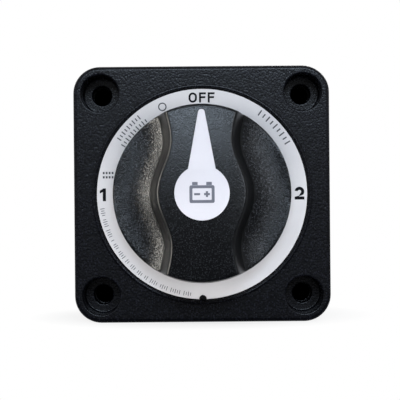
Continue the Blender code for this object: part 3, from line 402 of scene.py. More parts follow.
def edge_mask(tree, width):
    """1 along edges and 0 on open faces, from how far a rounded normal turns away from the real one."""
    rounded = add(tree, "Bevel", {"Radius": width}, samples=4).outputs["Normal"]
    normal = add(tree, "NewGeometry").outputs["Normal"]
    likeness = add(tree, "VectorMath", {0: rounded, 1: normal}, operation="DOT_PRODUCT")
    return remap(tree, likeness.outputs["Value"], 0.97, 0.75, 0.0, 1.0)


def finish(tree, shader, colour, gloss, height, depth, strength=1.0, specular=0.5):
    """Connects a surface's colour, its roughness and the bump of its height, depth deep."""
    bump = add(tree, "Bump", {"Height": height, "Strength": strength, "Distance": depth})
    tree.links.new(colour, shader.inputs["Base Color"])
    tree.links.new(gloss, shader.inputs["Roughness"])
    tree.links.new(bump.outputs["Normal"], shader.inputs["Normal"])
    shader.inputs["Specular IOR Level"].default_value = specular


def moulded(name, colour, roughness, grain, depth, wear=0.3, specular=0.5, glint_gain=2.0, masked=False):
    """Moulded plastic: domed grains, painted glints as lighter dots on some grains, uneven gloss, and
    rubbed edges.
    """
    material, tree, shader, coords = new_material(name)
    grains = add(tree, "TexVoronoi", {"Vector": coords, "Scale": 1 / grain}, feature="F1")
    distance = grains.outputs["Distance"]
    fine = noise(tree, coords, 0.7 * grain, 1.0, 0.5)
    hollows = times(tree, distance, distance)
    height = math_node(tree, "SUBTRACT", times(tree, fine, 0.5), hollows)
    tone = noise(tree, coords, 9 * MM, 4.0, 0.6)
    base = mix_colour(tree, spread(tree, tone, 0, 1), grey(colour, 0.85), grey(colour, 1.2))
    # Painted highlight: some grains are made lighter, as glints that stand in for the stipple's sparkle
    # under light.
    random_grey = add(tree, "SeparateColor", {0: grains.outputs["Color"]}).outputs[0]
    sparse = math_node(tree, "POWER", random_grey, 1.5)
    glint = times(tree, sparse, remap(tree, distance, 0.15, 0.6, 1.0, 0.0))
    gloss = spread(tree, noise(tree, coords, 3 * MM, 5.0, 0.6), roughness - 0.02, roughness + 0.03)
    if masked:
        # The grain attribute scales the bump, the gloss and the painted glints.
        mask = add(tree, "Attribute", attribute_name="grain").outputs["Fac"]
        height = times(tree, height, mask)
        glint = times(tree, glint, math_node(tree, "POWER", mask, 1.5))
        gloss = math_node(tree, "ADD", gloss, remap(tree, mask, 0.1, 0.4, 0.12, 0.0))
    glinted = mix_colour(tree, glint, base, grey(colour, glint_gain))
    edge = times(tree, edge_mask(tree, 0.35 * MM), noise(tree, coords, 1.5 * MM))
    worn = mix_colour(tree, times(tree, edge, wear), glinted, grey(colour, 3.0))
    finish(tree, shader, worn, gloss, height, depth, specular=specular)
    return material


def metal(name, colour, roughness, stretch=(1, 1, 1), tarnish=0.75):
    """Turned or drawn metal with fine streaks, patches of tarnish and brighter edges."""
    material, tree, shader, coords = new_material(name)
    stretched = add(tree, "Mapping", {"Vector": coords, "Scale": stretch}).outputs["Vector"]
    streaks = noise(tree, stretched, 0.5 * MM, 4.0, 0.6)
    patches = noise(tree, coords, 5 * MM, 5.0, 0.65)
    dull = mix_colour(tree, remap(tree, patches, 0.35, 0.7, 0, 1), grey(colour), grey(colour, tarnish))
    bright = mix_colour(tree, edge_mask(tree, 0.25 * MM), dull, grey(colour, 1.15))
    gloss = spread(tree, streaks, roughness - 0.08, roughness + 0.12)
    finish(tree, shader, bright, gloss, streaks, 0.01 * MM, 0.5)
    shader.inputs["Metallic"].default_value = 1.0
    return material


def satin_print(name, colour, roughness, mottle, specular=0.5):
    """Printed or moulded light surface: faint mottling, a soft orange peel and uneven gloss."""
    material, tree, shader, coords = new_material(name)
    patches = noise(tree, coords, 6 * MM, 5.0, 0.6)
    specks = noise(tree, coords, 0.4 * MM, 2.0, 0.5)
    tone = math_node(tree, "ADD", patches, times(tree, specks, 0.4))
    base = mix_colour(tree, remap(tree, tone, 0.5, 0.9, 0, 1), grey(colour, 1 - mottle), grey(colour))
    edge = times(tree, edge_mask(tree, 0.15 * MM), 0.35)
    edged = mix_colour(tree, edge, base, grey(colour, 0.7))
    gloss = spread(tree, patches, roughness - 0.05, roughness + 0.05)
    finish(tree, shader, edged, gloss, specks, 0.01 * MM, 0.4, specular)
    return material


# The 6.0 and 24.0 set how much lighter the painted glint dots of the case and the knob are.
CASE = moulded("case_plastic", (0.0045, 0.0046, 0.0066), 0.24, 0.5 * MM, 0.034 * MM, 0.15, 0.36, 6.0)
KNOB = moulded("knob_plastic", (0.0046, 0.0047, 0.0052), 0.23, 0.36 * MM, 0.085 * MM, 0.2, 0.42, 24.0, True)
DARK = moulded("dark_moulding", (0.022, 0.022, 0.024), 0.48, 0.5 * MM, 0.02 * MM)
NYLON = moulded("natural_nylon", (0.62, 0.58, 0.48), 0.42, 0.6 * MM, 0.01 * MM, wear=0.0)
RUBBER = moulded("black_rubber", (0.013, 0.013, 0.013), 0.8, 0.25 * MM, 0.015 * MM, wear=0.2)
LEGEND = satin_print("legend_white", (0.775, 0.75, 0.755), 0.42, 0.05, 0.3)
POINTER = satin_print("pointer_white", (0.765, 0.745, 0.79), 0.42, 0.03, 0.2)
INK = satin_print("print_black", (0.006, 0.006, 0.008), 0.5, 0.3, 0.1)
FAINT_INK = satin_print("print_grey", (0.06, 0.06, 0.07), 0.5, 0.3)
SYMBOL_INK = satin_print("symbol_grey", (0.165, 0.17, 0.21), 0.45, 0.1)
TINNED = metal("tinned_copper", (0.74, 0.72, 0.68), 0.3, (1, 0.2, 1))
COPPER = metal("bare_copper", (0.86, 0.42, 0.25), 0.28, (1, 1, 0.15), tarnish=0.6)
SILVER = metal("silver_alloy", (0.88, 0.87, 0.84), 0.24)
STEEL = metal("stainless_steel", (0.58, 0.58, 0.58), 0.28, (1, 0.3, 1))


# ---- housing


def mounting_hole(where):
    """A cutter for a counterbored hole, with a rounded rim, foot and inner edge."""
    rim, foot, lip = mm(0.45, 0.5, 0.35)
    top, floor, end = FACE_Z + 2 * MM, FACE_Z - COUNTERBORE_DEPTH, SEAM_Z - 2 * MM
    profile = [(0, top), (COUNTERBORE_RADIUS + rim, top)]
    profile += arc((COUNTERBORE_RADIUS + rim, FACE_Z - rim), rim, 90, 180, 5)
    profile += arc((COUNTERBORE_RADIUS - foot, floor + foot), foot, 0, -90, 4)
    profile += arc((HOLE_RADIUS + lip, floor - lip), lip, 90, 180, 4)
    profile += [(HOLE_RADIUS, end), (0, end)]
    return lathe("hole", profile, at=where, segments=72)


def lip_ring():
    """The rounded bead round the recess."""
    foot, steps = FACE_Z - 0.8 * MM, 8
    half = (LIP_OUTER - RECESS_OUTER) / 2
    inner, middle = RECESS_OUTER - 0.6 * MM, RECESS_OUTER + half
    angles = [math.radians(180 * i / steps) for i in range(steps + 1)]
    crown = [(middle + half * math.cos(a), FACE_Z + LIP_HEIGHT * math.sin(a)) for a in angles]
    profile = crown + [(inner, FACE_Z), (inner, foot), (LIP_OUTER, foot)]
    return lathe("lip", profile, segments=160, closed=True)


def front_housing():
    """The square face with its recess, holes and key, and the bush, columns and chamber behind it."""
    layers = rounding(SEAM_ROUND, SEAM_Z, upwards=False, steps=3)
    layers += rounding(FACE_ROUND, FACE_Z, upwards=True, steps=8)
    body = block("housing_front", HALF_FACE, CORNER_RADIUS, layers, steps=14)
    skirt_half, skirt_wall, skirt_low = INNER_HALF - 0.3 * MM, 1.2 * MM, HOUSING_END_Z + 6.2 * MM
    join(body, block("skirt", skirt_half, 4.6 * MM, [(0, skirt_low), (0, FACE_Z - 2 * MM)]))
    pocket = [(0, HOUSING_END_Z), (0, FRONT_WALL_Z)]
    cut(body, block("pocket", skirt_half - skirt_wall, 3.6 * MM, pocket))
    into_wall = FRONT_WALL_Z + MM
    column_radius, boss_radius, chamber_low = 6.8 * MM, 3.3 * MM, HOUSING_END_Z + 1.3 * MM
    solids = []
    for hole, screw in zip(HOLES, BASE_SCREWS):
        solids.append(rod("column", column_radius, SEAM_Z, into_wall, hole, 48))
        solids.append(rod("boss", boss_radius, HOUSING_END_Z, into_wall, screw, 32))
    solids.append(rod("chamber", CHAMBER_RADIUS + CHAMBER_WALL, chamber_low, into_wall))
    solids.append(rod("bush", BUSH_RADIUS, FACE_Z - MM, BUSH_TOP_Z))
    join(body, *solids, lip_ring())

    floor, over = RING_LOW_Z - 0.3 * MM, FACE_Z + MM
    recess = [(RECESS_OUTER, over), (RECESS_OUTER, floor), (RECESS_INNER, floor), (RECESS_INNER, over)]
    cutters = [lathe("recess", recess, segments=160, closed=True)]
    cutters.append(rod("hollow", CHAMBER_RADIUS, HOUSING_END_Z - MM, FRONT_WALL_Z))
    cutters.append(rod("bore", SHAFT_BORE_RADIUS, FRONT_WALL_Z - MM, BUSH_TOP_Z + MM))
    pilot_radius, pilot_low, pilot_tip = 1.4 * MM, HOUSING_END_Z - MM, 43 * MM
    pilot = [(0, pilot_low), (pilot_radius, pilot_low), (pilot_radius, pilot_tip - MM), (0, pilot_tip)]
    for hole, screw in zip(HOLES, BASE_SCREWS):
        cutters += [mounting_hole(hole), lathe("pilot", pilot, at=screw, segments=24)]
    notch_radius, notch_reach, notch_low = mm(2.6, 23.7, 41)
    for angle in QUARTERS:
        notch_at = at_radius(notch_reach, angle)
        cutters.append(rod("notch", notch_radius, notch_low, FRONT_WALL_Z, notch_at, 32))
    cut(body, *cutters)
    key_radius, key_round = mm(0.72, 0.3)
    key = [(0, floor - 0.5 * MM), (key_radius, floor - 0.5 * MM)]
    key += arc((key_radius - key_round, FACE_Z + 0.05 * MM), key_round, 0, 90, 4)
    key.append((0, FACE_Z + 0.35 * MM))
    join(body, lathe("key", key, at=(0, -KEY_REACH, 0), segments=32))
    finished(soften(body, 0.12 * MM), CASE, "front_housing")


def legend_ring():
    """The white ring, with a notch that takes the housing's key."""
    inner, edge, notch_radius = mm(22.6, 0.12, 1.02)
    profile = [(inner, RING_LOW_Z), (RING_OUTER, RING_LOW_Z), (RING_OUTER, FACE_Z - edge)]
    profile += arc((RING_OUTER - edge, FACE_Z - edge), edge, 15, 90, 3) + [(inner, FACE_Z)]
    ring = lathe("dial_ring", profile, segments=192, closed=True)
    cut(ring, rod("notch", notch_radius, RING_LOW_Z - MM, FACE_Z + MM, (0, -KEY_REACH, 0), 40))
    finished(shade(ring), LEGEND, "legend_ring")


# ---- knob

SCOOP_FLOOR_Z, UNDERCUT_TOP_Z, CAVITY_TOP_Z, SCREW_SEAT_Z = mm(58.5, 55.8, 70.3, 70)
GRIP_WAIST, GRIP_SWELL, SWELL_REACH = mm(8.15, 3.55, 14)
GRIP_FLARE, FLARE_START, FLARE_LENGTH = mm(1.25, 13, 7.6)
ARCH_DROP, ARCH_REACH, CROWN_DROP = mm(1.6, 22.5, 0.35)
EDGE_ROUND, RIM_ROUND, FOOT_RADIUS, SCOOP_RADIUS = mm(0.9, 0.4, 2.5, 9.3)
WALL_ANGLE, SCOOP_ANGLE, KNOB_DRAFT = (math.radians(a) for a in (81, 48, 3.9))
UNDERCUT_RADIUS, HUB_RADIUS, SCREW_HOLE_RADIUS, SCREW_HEAD_RADIUS, DRIVE_HALF = mm(21.6, 7.8, 2.25, 4, 5)

# The stipple's strength, and where the polished wall lies outside the grip's edge
POLISHED_GRAIN, GRIP_GRAIN = 0.12, 0.45
POLISH_MIDDLE, POLISH_HALF, POLISH_FADE, SIDE_FADE = mm(0.9, 1.15, 0.6, 0.5)

ROUND_RUN = EDGE_ROUND * math.sin(WALL_ANGLE)
ROUND_DROP = EDGE_ROUND * (1 - math.cos(WALL_ANGLE))
FOOT_RUN = FOOT_RADIUS * (math.sin(WALL_ANGLE) - math.sin(SCOOP_ANGLE))
FOOT_DROP = FOOT_RADIUS * (math.cos(SCOOP_ANGLE) - math.cos(WALL_ANGLE))
SCOOP_RUN = SCOOP_RADIUS * math.sin(SCOOP_ANGLE)
SCOOP_DROP = SCOOP_RADIUS * (1 - math.cos(SCOOP_ANGLE))
TOTAL_DROP = KNOB_TOP_Z - SCOOP_FLOOR_Z
WALL_DROP = TOTAL_DROP - ROUND_DROP - FOOT_DROP - SCOOP_DROP
WALL_RUN = WALL_DROP / math.tan(WALL_ANGLE)
FLOOR_REACH = WALL_RUN + FOOT_RUN + SCOOP_RUN


def grip_half_width(y):
    """Half the width of the grip's top: swollen round the hub, waisted, then flared towards both ends."""
    swell = flare = 0.0
    if abs(y) < SWELL_REACH:
        swell = GRIP_SWELL * math.cos(math.pi * y / (2 * SWELL_REACH)) ** 2
    if abs(y) > FLARE_START:
        flare = GRIP_FLARE * ((abs(y) - FLARE_START) / FLARE_LENGTH) ** 2
    return GRIP_WAIST + swell + flare


def grip_top(x, y):
    return KNOB_TOP_Z - ARCH_DROP * (y / ARCH_REACH) ** 2 - CROWN_DROP * (x / GRIP_WAIST) ** 2


def scoop_drop(d):
    """How far the surface has fallen at a distance d outside the grip's edge: round, wall, foot, scoop."""
    if d <= -ROUND_RUN:
        return 0.0
    if d <= 0:
        return EDGE_ROUND - math.sqrt(EDGE_ROUND**2 - (d + ROUND_RUN) ** 2)
    if d <= WALL_RUN:
        return ROUND_DROP + d * math.tan(WALL_ANGLE)
    if d <= WALL_RUN + FOOT_RUN:
        across = FOOT_RADIUS * math.sin(WALL_ANGLE) - (d - WALL_RUN)
        rise = math.sqrt(FOOT_RADIUS**2 - across**2)
        return ROUND_DROP + WALL_DROP + rise - FOOT_RADIUS * math.cos(WALL_ANGLE)
    across = FLOOR_REACH - d
    return TOTAL_DROP - SCOOP_RADIUS + math.sqrt(max(0.0, SCOOP_RADIUS**2 - across**2))


def barrel_radius(z):
    return KNOB_RADIUS - (z - KNOB_BOTTOM_Z) * math.tan(KNOB_DRAFT)


def rim_drop(x, y, z):
    """The rounding where the knob's surface meets its drafted side."""
    left = barrel_radius(z) - math.hypot(x, y)
    if left >= RIM_ROUND:
        return 0.0
    return RIM_ROUND - math.sqrt(max(0.0, RIM_ROUND**2 - (RIM_ROUND - max(left, 0.0)) ** 2))


def knob_surface(x, y):
    top = grip_top(min(abs(x), grip_half_width(y)), y)
    share = scoop_drop(abs(x) - grip_half_width(y)) / TOTAL_DROP
    z = top - share * (top - SCOOP_FLOOR_Z)
    return z - rim_drop(x, y, z)


def spaced(start, end, count):
    """Evenly spaced values after the start, up to and including the end."""
    return [start + (end - start) * i / count for i in range(1, count + 1)]


def knob_columns():
    """Distances of the surface's grid lines outside the grip's edge, close together where it curves."""
    offsets = [-ROUND_RUN * math.cos(math.pi / 2 * i / 6) for i in range(7)]
    offsets += spaced(0, WALL_RUN, 5) + spaced(WALL_RUN, WALL_RUN + FOOT_RUN, 5)
    offsets += spaced(WALL_RUN + FOOT_RUN, FLOOR_REACH, 14)
    offsets += spaced(FLOOR_REACH, FLOOR_REACH + SCOOP_RADIUS * 0.97, 18)
    return offsets


def knob_block():
    """The block whose top is the knob's surface, with grid lines that follow the grip's wavy edge."""
    offsets = knob_columns()
    flat_steps, rows, reach = 10, 132, 24.6 * MM
    bm = bmesh.new()
    grid = []
    for row in range(rows + 1):
        y = reach * (2 * row / rows - 1)
        edge = grip_half_width(y)
        flat = edge + offsets[0]
        half = [flat * i / flat_steps for i in range(flat_steps)] + [edge + d for d in offsets]
        xs = [-x for x in reversed(half[1:])] + half
        grid.append([bm.verts.new((x, y, knob_surface(x, y))) for x in xs])
    top = []
    for low, high in zip(grid, grid[1:]):
        for i in range(len(low) - 1):
            top.append(bm.faces.new((low[i], low[i + 1], high[i + 1], high[i])))
    made = bmesh.ops.extrude_face_region(bm, geom=top)
    for v in made["geom"]:
        if isinstance(v, bmesh.types.BMVert):
            v.co.z = KNOB_BOTTOM_Z - 3 * MM
    return object_from(bm, "grip_knob")


def pointer_outline(grow=0.0):
    """A disc with a tapered pointer and a rounded tip, grown sideways by grow."""
    tip_radius, root_half = 0.87 * MM, 3.52 * MM + grow
    disc = DISC_RADIUS + grow
    root = math.degrees(math.acos(root_half / disc))
    outline = arc((0, 0), disc, 180 - root, 360 + root, 64)
    return outline + arc((0, POINTER_LENGTH - tip_radius), tip_radius + grow, 10, 170, 14)


def arched(obj):
    """Bends a flat plate down along the arch of the grip's top, in steps of 1 mm."""
    bm = bmesh.new()
    bm.from_mesh(obj.data)
    for step in range(-8, 23):
        geometry = bm.verts[:] + bm.edges[:] + bm.faces[:]
        bmesh.ops.bisect_plane(bm, geom=geometry, plane_co=(0, step * MM, 0), plane_no=(0, 1, 0))
    for v in bm.verts:
        v.co.z -= ARCH_DROP * (v.co.y / ARCH_REACH) ** 2
    bm.to_mesh(obj.data)
    bm.free()
    return obj


def mark_grain(obj):
    """Stores how strong the stipple is: weaker on the grip, and faint on the wall below it and the side."""
    attribute = obj.data.attributes.new("grain", "FLOAT", "POINT")
    for index, v in enumerate(obj.data.vertices):
        d = abs(v.co.x) - grip_half_width(v.co.y)
        inwards = barrel_radius(v.co.z) - math.hypot(v.co.x, v.co.y)
        wall = clamped((abs(d - POLISH_MIDDLE) - POLISH_HALF) / POLISH_FADE)
        side = clamped(inwards / SIDE_FADE)
        grain = GRIP_GRAIN if d < 0 else 1.0
        attribute.data[index].value = POLISHED_GRAIN + (grain - POLISHED_GRAIN) * wall * side
    return obj


def knob():
    """The grip on its round base, hollow underneath, with a square socket and a hole for its screw."""
    body = knob_block()
    top, chamfer = KNOB_TOP_Z + 2 * MM, 0.3 * MM
    barrel = [(0, KNOB_BOTTOM_Z), (barrel_radius(KNOB_BOTTOM_Z) - chamfer, KNOB_BOTTOM_Z)]
    barrel.append((barrel_radius(KNOB_BOTTOM_Z + chamfer), KNOB_BOTTOM_Z + chamfer))
    barrel += [(barrel_radius(top), top), (0, top)]
    combine(body, "INTERSECT", [lathe("barrel", barrel, segments=192)])

    steps, reach, shell, low = 40, 18.5 * MM, 2.8 * MM, KNOB_BOTTOM_Z - MM
    ys = [reach * (2 * i / steps - 1) for i in range(steps + 1)]
    right = [(grip_half_width(y) - shell, y) for y in ys]
    outline = right + [(-x, y) for x, y in reversed(right)]
    undercut = rod("undercut", UNDERCUT_RADIUS, low, UNDERCUT_TOP_Z)
    cut(body, plate("cavity", [outline], low, CAVITY_TOP_Z), undercut)
    join(body, rod("hub", HUB_RADIUS, UNDERCUT_TOP_Z + 0.2 * MM, CAVITY_TOP_Z + 0.7 * MM))

    drive_top, over = dial_box("rotor")[1].z + 0.3 * MM, KNOB_TOP_Z + MM
    drive = (-DRIVE_HALF, DRIVE_HALF)
    socket = box("socket", drive, drive, (UNDERCUT_TOP_Z - MM, drive_top))
    hole = [(0, drive_top - MM), (SCREW_HOLE_RADIUS, drive_top - MM), (SCREW_HOLE_RADIUS, SCREW_SEAT_Z)]
    hole += [(SCREW_HEAD_RADIUS, SCREW_SEAT_Z), (SCREW_HEAD_RADIUS, over), (0, over)]
    pocket = arched(plate("pocket", [pointer_outline(0.12 * MM)], KNOB_TOP_Z - 1.05 * MM, over))
    cut(body, socket, lathe("hole", hole, segments=48), pocket)
    finished(mark_grain(shade(body, 38)), KNOB, "knob", body="rotor")


def pointer_insert():
    low = KNOB_TOP_Z - 0.75 * MM
    insert = arched(plate("pointer_plate", [pointer_outline()], low, KNOB_TOP_Z, bevel=0.1 * MM))
    finished(shade(insert, 40), POINTER, "pointer_insert", body="rotor")


# ---- print

INK_THICKNESS = 0.04 * MM


def bar(x, y, half_width, half_height):
    return [(x - half_width, y - half_height), (x + half_width, y - half_height),
            (x + half_width, y + half_height), (x - half_width, y + half_height)]


def letter_o(x, y, width, height, stroke):
    """A rounded ring, taller than wide, as an outer and an inner outline."""
    outlines = []
    for inset in (0, stroke):
        half_w, half_h = width / 2 - inset, height / 2 - inset
        corner = min(half_w, half_h)
        straight = half_h - corner
        points = arc((x, y + straight), corner, 0, 180, 16) + arc((x, y - straight), corner, 180, 360, 16)
        outlines.append(points)
    return outlines


def letter_f(x, y, width, height, stroke):
    left, right, top, foot = x - width / 2, x + width / 2, y + height / 2, y - height / 2
    middle = y + stroke * 0.15
    return [[(left, foot), (left + stroke, foot), (left + stroke, middle - stroke / 2),
             (right - stroke * 0.3, middle - stroke / 2), (right - stroke * 0.3, middle + stroke / 2),
             (left + stroke, middle + stroke / 2), (left + stroke, top - stroke), (right, top - stroke),
             (right, top), (left, top)]]


def figure_one(x, y, height, stroke):
    top, foot, flag = y + height / 2, y - height / 2, x - stroke * 0.95
    return [[(x, foot), (x + stroke, foot), (x + stroke, top), (x + stroke * 0.2, top),
             (flag, top - stroke * 0.75), (flag, top - stroke * 1.6), (x, top - stroke * 1.15)]]


def figure_two(x, y, width, height, stroke):
    """A two: a hook from a thick arc, a slanting neck and a flat foot."""
    half, foot, radius = width / 2, y - height / 2, width / 2
    bowl = (x, y + height / 2 - radius)
    outer = arc(bowl, radius, -38, 168, 16)
    inner = arc(bowl, radius - stroke, 168, -30, 14)
    neck = [(x - half + stroke * 1.25, foot + stroke), (x + half, foot + stroke), (x + half, foot)]
    return [outer + inner + neck + [(x - half, foot), (x - half, foot + stroke * 0.9)]]


def print_on_ring(name, outlines, ink):
    mesh = plate(name, outlines, FACE_Z - INK_THICKNESS / 4, FACE_Z + INK_THICKNESS)
    finished(mesh, ink)


def legend_print():
    """The position marks OFF, 1 and 2."""
    centre, height, stroke = mm(26.15, 2.75, 0.52)
    letters = [("o", letter_o, -2.3, 2.25), ("f_first", letter_f, 0.35, 1.85)]
    letters.append(("f_second", letter_f, 2.7, 1.85))
    for name, letter, x, width in letters:
        print_on_ring(f"mark_off_{name}", letter(x * MM, centre, width * MM, height, stroke), INK)
    print_on_ring("mark_one", figure_one(*mm(-26.9, 0, 3.45, 0.85)), INK)
    print_on_ring("mark_two", figure_two(*mm(26.4, 0, 2.6, 3.45, 0.82)), INK)


def radial_tick(radius, degrees, length, width):
    """A thin bar that points at the dial's centre, with its sizes in millimetres."""
    turn = Matrix.Rotation(math.radians(degrees), 2)
    return [tuple(turn @ Vector(point)) for point in bar(*mm(radius, 0, length / 2, width / 2))]


def tick_row(radius, start, end, count, length, width, groups=()):
    """Evenly spaced ticks, every other one shorter. After each group of them, one is left out."""
    skipped = {sum(groups[:i + 1]) + i for i in range(len(groups))}
    ticks = []
    for i in range(count):
        if i not in skipped:
            degrees = start + (end - start) * i / (count - 1)
            long = length if i % 2 == 0 else length * 0.72
            ticks.append(radial_tick(radius, degrees, long, width))
    return ticks


def legend_scales():
    """Plain graduations, dashes and a circle in place of the small lettering."""
    coarse = tick_row(27.0, 54, 30.6, 9, 1.7, 0.34)
    coarse += tick_row(26.9, 146, 129, 9, 1.3, 0.3)
    coarse += tick_row(25.0, 148, 127, 10, 1.3, 0.3)
    print_on_ring("mark_scale_coarse", coarse, FAINT_INK)
    groups = (4, 4, 4, 1, 3, 4, 2, 3, 3, 2, 4, 4, 5)
    fine = tick_row(27.3, 188, 263, 60, 1.2, 0.16, groups)
    print_on_ring("mark_scale_fine", fine, FAINT_INK)
    dashes = [bar(*mm(x, y, 0.24, 0.3)) for y in (5.9, 4.75) for x in (-26.6, -25.8, -25.0, -24.2)]
    print_on_ring("mark_dashes", dashes, FAINT_INK)
    where = at_radius(25.95 * MM, math.radians(114))
    rings = [circle(where[:2], radius, 24) for radius in mm(1.15, 0.85)]
    print_on_ring("mark_circle", rings, FAINT_INK)


def plus_sign(x, y, arm, thick):
    points, quarter = [], [(-arm, -thick), (-thick, -thick), (-thick, -arm)]
    for _ in range(4):
        points += [(x + u, y + v) for u, v in quarter]
        quarter = [(-v, u) for u, v in quarter]
    return points


def battery_symbol():
    """A plain battery pictogram on the pointer's disc: a case with two posts, a plus and a minus."""
    half_w, half_h, line, level = mm(3.2, 2.25, 0.75, -0.35)
    sign_x, arm, thick = mm(1.25, 0.75, 0.27)
    case = rounded_bar(0, level, half_w, half_h, 0.45 * MM)
    hollow = rounded_bar(0, level, half_w - line, half_h - line, 0.2 * MM)
    post_y = half_h + level + 0.45 * MM
    posts = [bar(x, post_y, 0.7 * MM, 0.4 * MM) for x in mm(-1.8, 1.8)]
    signs = [bar(-sign_x, level, arm, thick), plus_sign(sign_x, level, arm, thick)]
    outlines = [case, hollow] + signs + posts
    flat = plate("battery_symbol", outlines, KNOB_TOP_Z - INK_THICKNESS / 4, KNOB_TOP_Z + INK_THICKNESS)
    finished(arched(flat), SYMBOL_INK, body="rotor")


# ---- rear frame, panels and cover


def rear_frame():
    top = SEAM_LOW_Z
    layers = rounding(0.5 * MM, 0, upwards=False, steps=4)
    layers += rounding(SEAM_ROUND, top, upwards=True, steps=3)
    body = block("frame_rear", HALF_FACE, CORNER_RADIUS, layers, steps=14)
    cut(body, block("inside", INNER_HALF, CORNER_RADIUS - FRAME_WALL, [(0, -MM), (0, top + MM)]))
    solids, cutters = [], []
    for where, angle in zip(HOLES, DIAGONALS):
        solids.append(rod("column", COLUMN_RADIUS, 0, top - 2.9 * MM, where, 56, angle))
        cutters.append(rod("bore", HOLE_RADIUS, -MM, top, where, 48, angle))
    guide_y, guide_z = mm(29.2, 30.7), (2.6 * MM, WINDOW_TOP_Z)
    window = ((-WINDOW_HALF, WINDOW_HALF), (INNER_HALF - MM, HALF_FACE + MM), (-MM, WINDOW_TOP_Z))
    for angle in QUARTERS:
        for guide_x in (mm(-24.5, -20.8), mm(20.8, 24.5)):
            solids.append(box("guide", guide_x, guide_y, guide_z, turn=angle))
        cutters.append(box("window", *window, turn=angle))
    join(body, *solids)
    cut(body, *cutters)
    finished(soften(body, 0.2 * MM), CASE, "rear_frame")


def side_panel(side, angle):
    """A panel with a stiffening web, a flange behind the wall and a U-shaped score line."""
    outer = HALF_FACE - 0.2 * MM
    half, top = WINDOW_HALF - 0.3 * MM, WINDOW_TOP_Z - 0.3 * MM
    body = box(f"panel_{side}", (-half, half), (INNER_HALF, outer), (0, top))
    web = box("web", (-half + MM, half - MM), mm(31.5, 33.5), mm(2.8, 23))
    flange = box("flange", mm(-22.6, 22.6), mm(31.0, 32.15), mm(2.6, 25.5))
    join(body, web, flange)
    score, depth, u_radius, u_centre = 0.4 * MM, 0.6 * MM, 9.0 * MM, (0, 10.5 * MM)
    wide, narrow = u_radius + score, u_radius - score
    outline = [(wide, -MM)] + arc(u_centre, wide, 0, 180, 40) + [(-wide, -MM), (-narrow, -MM)]
    outline += arc(u_centre, narrow, 180, 0, 40) + [(narrow, -MM)]
    groove = plate("groove", [outline], -outer - MM, -outer + depth)
    groove.data.transform(STAND_UP)
    cut(body, groove)
    body.data.transform(Matrix.Rotation(angle, 4, "Z"))
    finished(soften(body, 0.18 * MM), CASE, f"side_panel_{side}")


def rear_cover():
    layers = rounding(0.35 * MM, 0, upwards=False, steps=3) + [(0, COVER_THICKNESS)]
    body = block("cover_rear", COVER_HALF, 3 * MM, layers)
    middle, high = COVER_THICKNESS / 2, COVER_THICKNESS + MM
    leg = (mm(29.0, 30.7), mm(-2.5, 2.5), (middle, dial_box("rear_cover")[1].z))
    rib = (mm(25.5, 29.5), mm(-0.6, 0.6), (middle, 6 * MM))
    legs = []
    for angle in QUARTERS:
        legs += [box("leg", *leg, turn=angle), box("rib", *rib, turn=angle)]
    join(body, *legs)
    cutters = [rod("corner", COLUMN_RADIUS + 0.4 * MM, -MM, high, where, 56) for where in HOLES]
    cutters += [rod("access", ACCESS_RADIUS, -MM, high, place) for place in TERMINALS.values()]
    pry = (mm(-3.5, 3.5), (COVER_HALF - 1.6 * MM, COVER_HALF + 2 * MM), (-MM, 4 * MM))
    cutters += [box("pry", *pry, turn=turn) for turn in (0, math.pi)]
    cut(body, *cutters)
    finished(soften(body, 0.2 * MM), DARK, "rear_cover", body="rear_cover")


# ---- terminals and fasteners


def thread(tip, end, pitch, depth, crest, edge, chamfer, rows_per_pitch, segments, fades=False):
    """Rings of points along a thread from its tip, with a flat crest, two flanks and a narrow root."""
    rows = int(abs(end - tip) / pitch * rows_per_pitch)
    rings = [[(0, 0, tip)]]
    for row in range(rows + 1):
        z = tip + (end - tip) * row / rows
        limit = edge - max(0.0, chamfer - abs(z - tip))
        deepest = depth * min(1.0, abs(end - z) / pitch) if fades else depth
        ring = []
        for i in range(segments):
            height = abs((z / pitch - i / segments) % 1.0 - 0.5) * 2
            cut_depth = deepest * clamped((height - 0.12) / 0.76)
            ring.append(at_radius(min(crest - cut_depth, limit), math.radians(360 * i / segments), z))
        rings.append(ring)
    return rings


def stud(name):
    """A stud with a contact head, a plain neck in the base and a threaded end."""
    low, high = dial_box(f"stud_{name}")
    head_radius, head_round = (high.x - low.x) / 2, 0.4 * MM
    head_low = high.z - (2.6 if name == "common" else 2.7) * MM
    pitch, depth, thread_end, chamfer = mm(1.5, 0.75, 25, 1.1)
    segments, neck = 48, STUD_RADIUS - 0.05 * MM
    rings = thread(low.z, thread_end, pitch, depth, neck, STUD_RADIUS, chamfer, 12, segments, fades=True)
    head = [(neck, head_low), (head_radius, head_low)]
    head += arc((head_radius - head_round, high.z - head_round), head_round, 0, 90, 4)
    rings += [ring_at(radius, z, segments) for radius, z in head]
    rings.append([(0, 0, high.z)])
    body = loft(f"terminal_stud_{name}", rings, TERMINALS[name])
    finished(shade(body, 40), TINNED, f"stud_{name}")


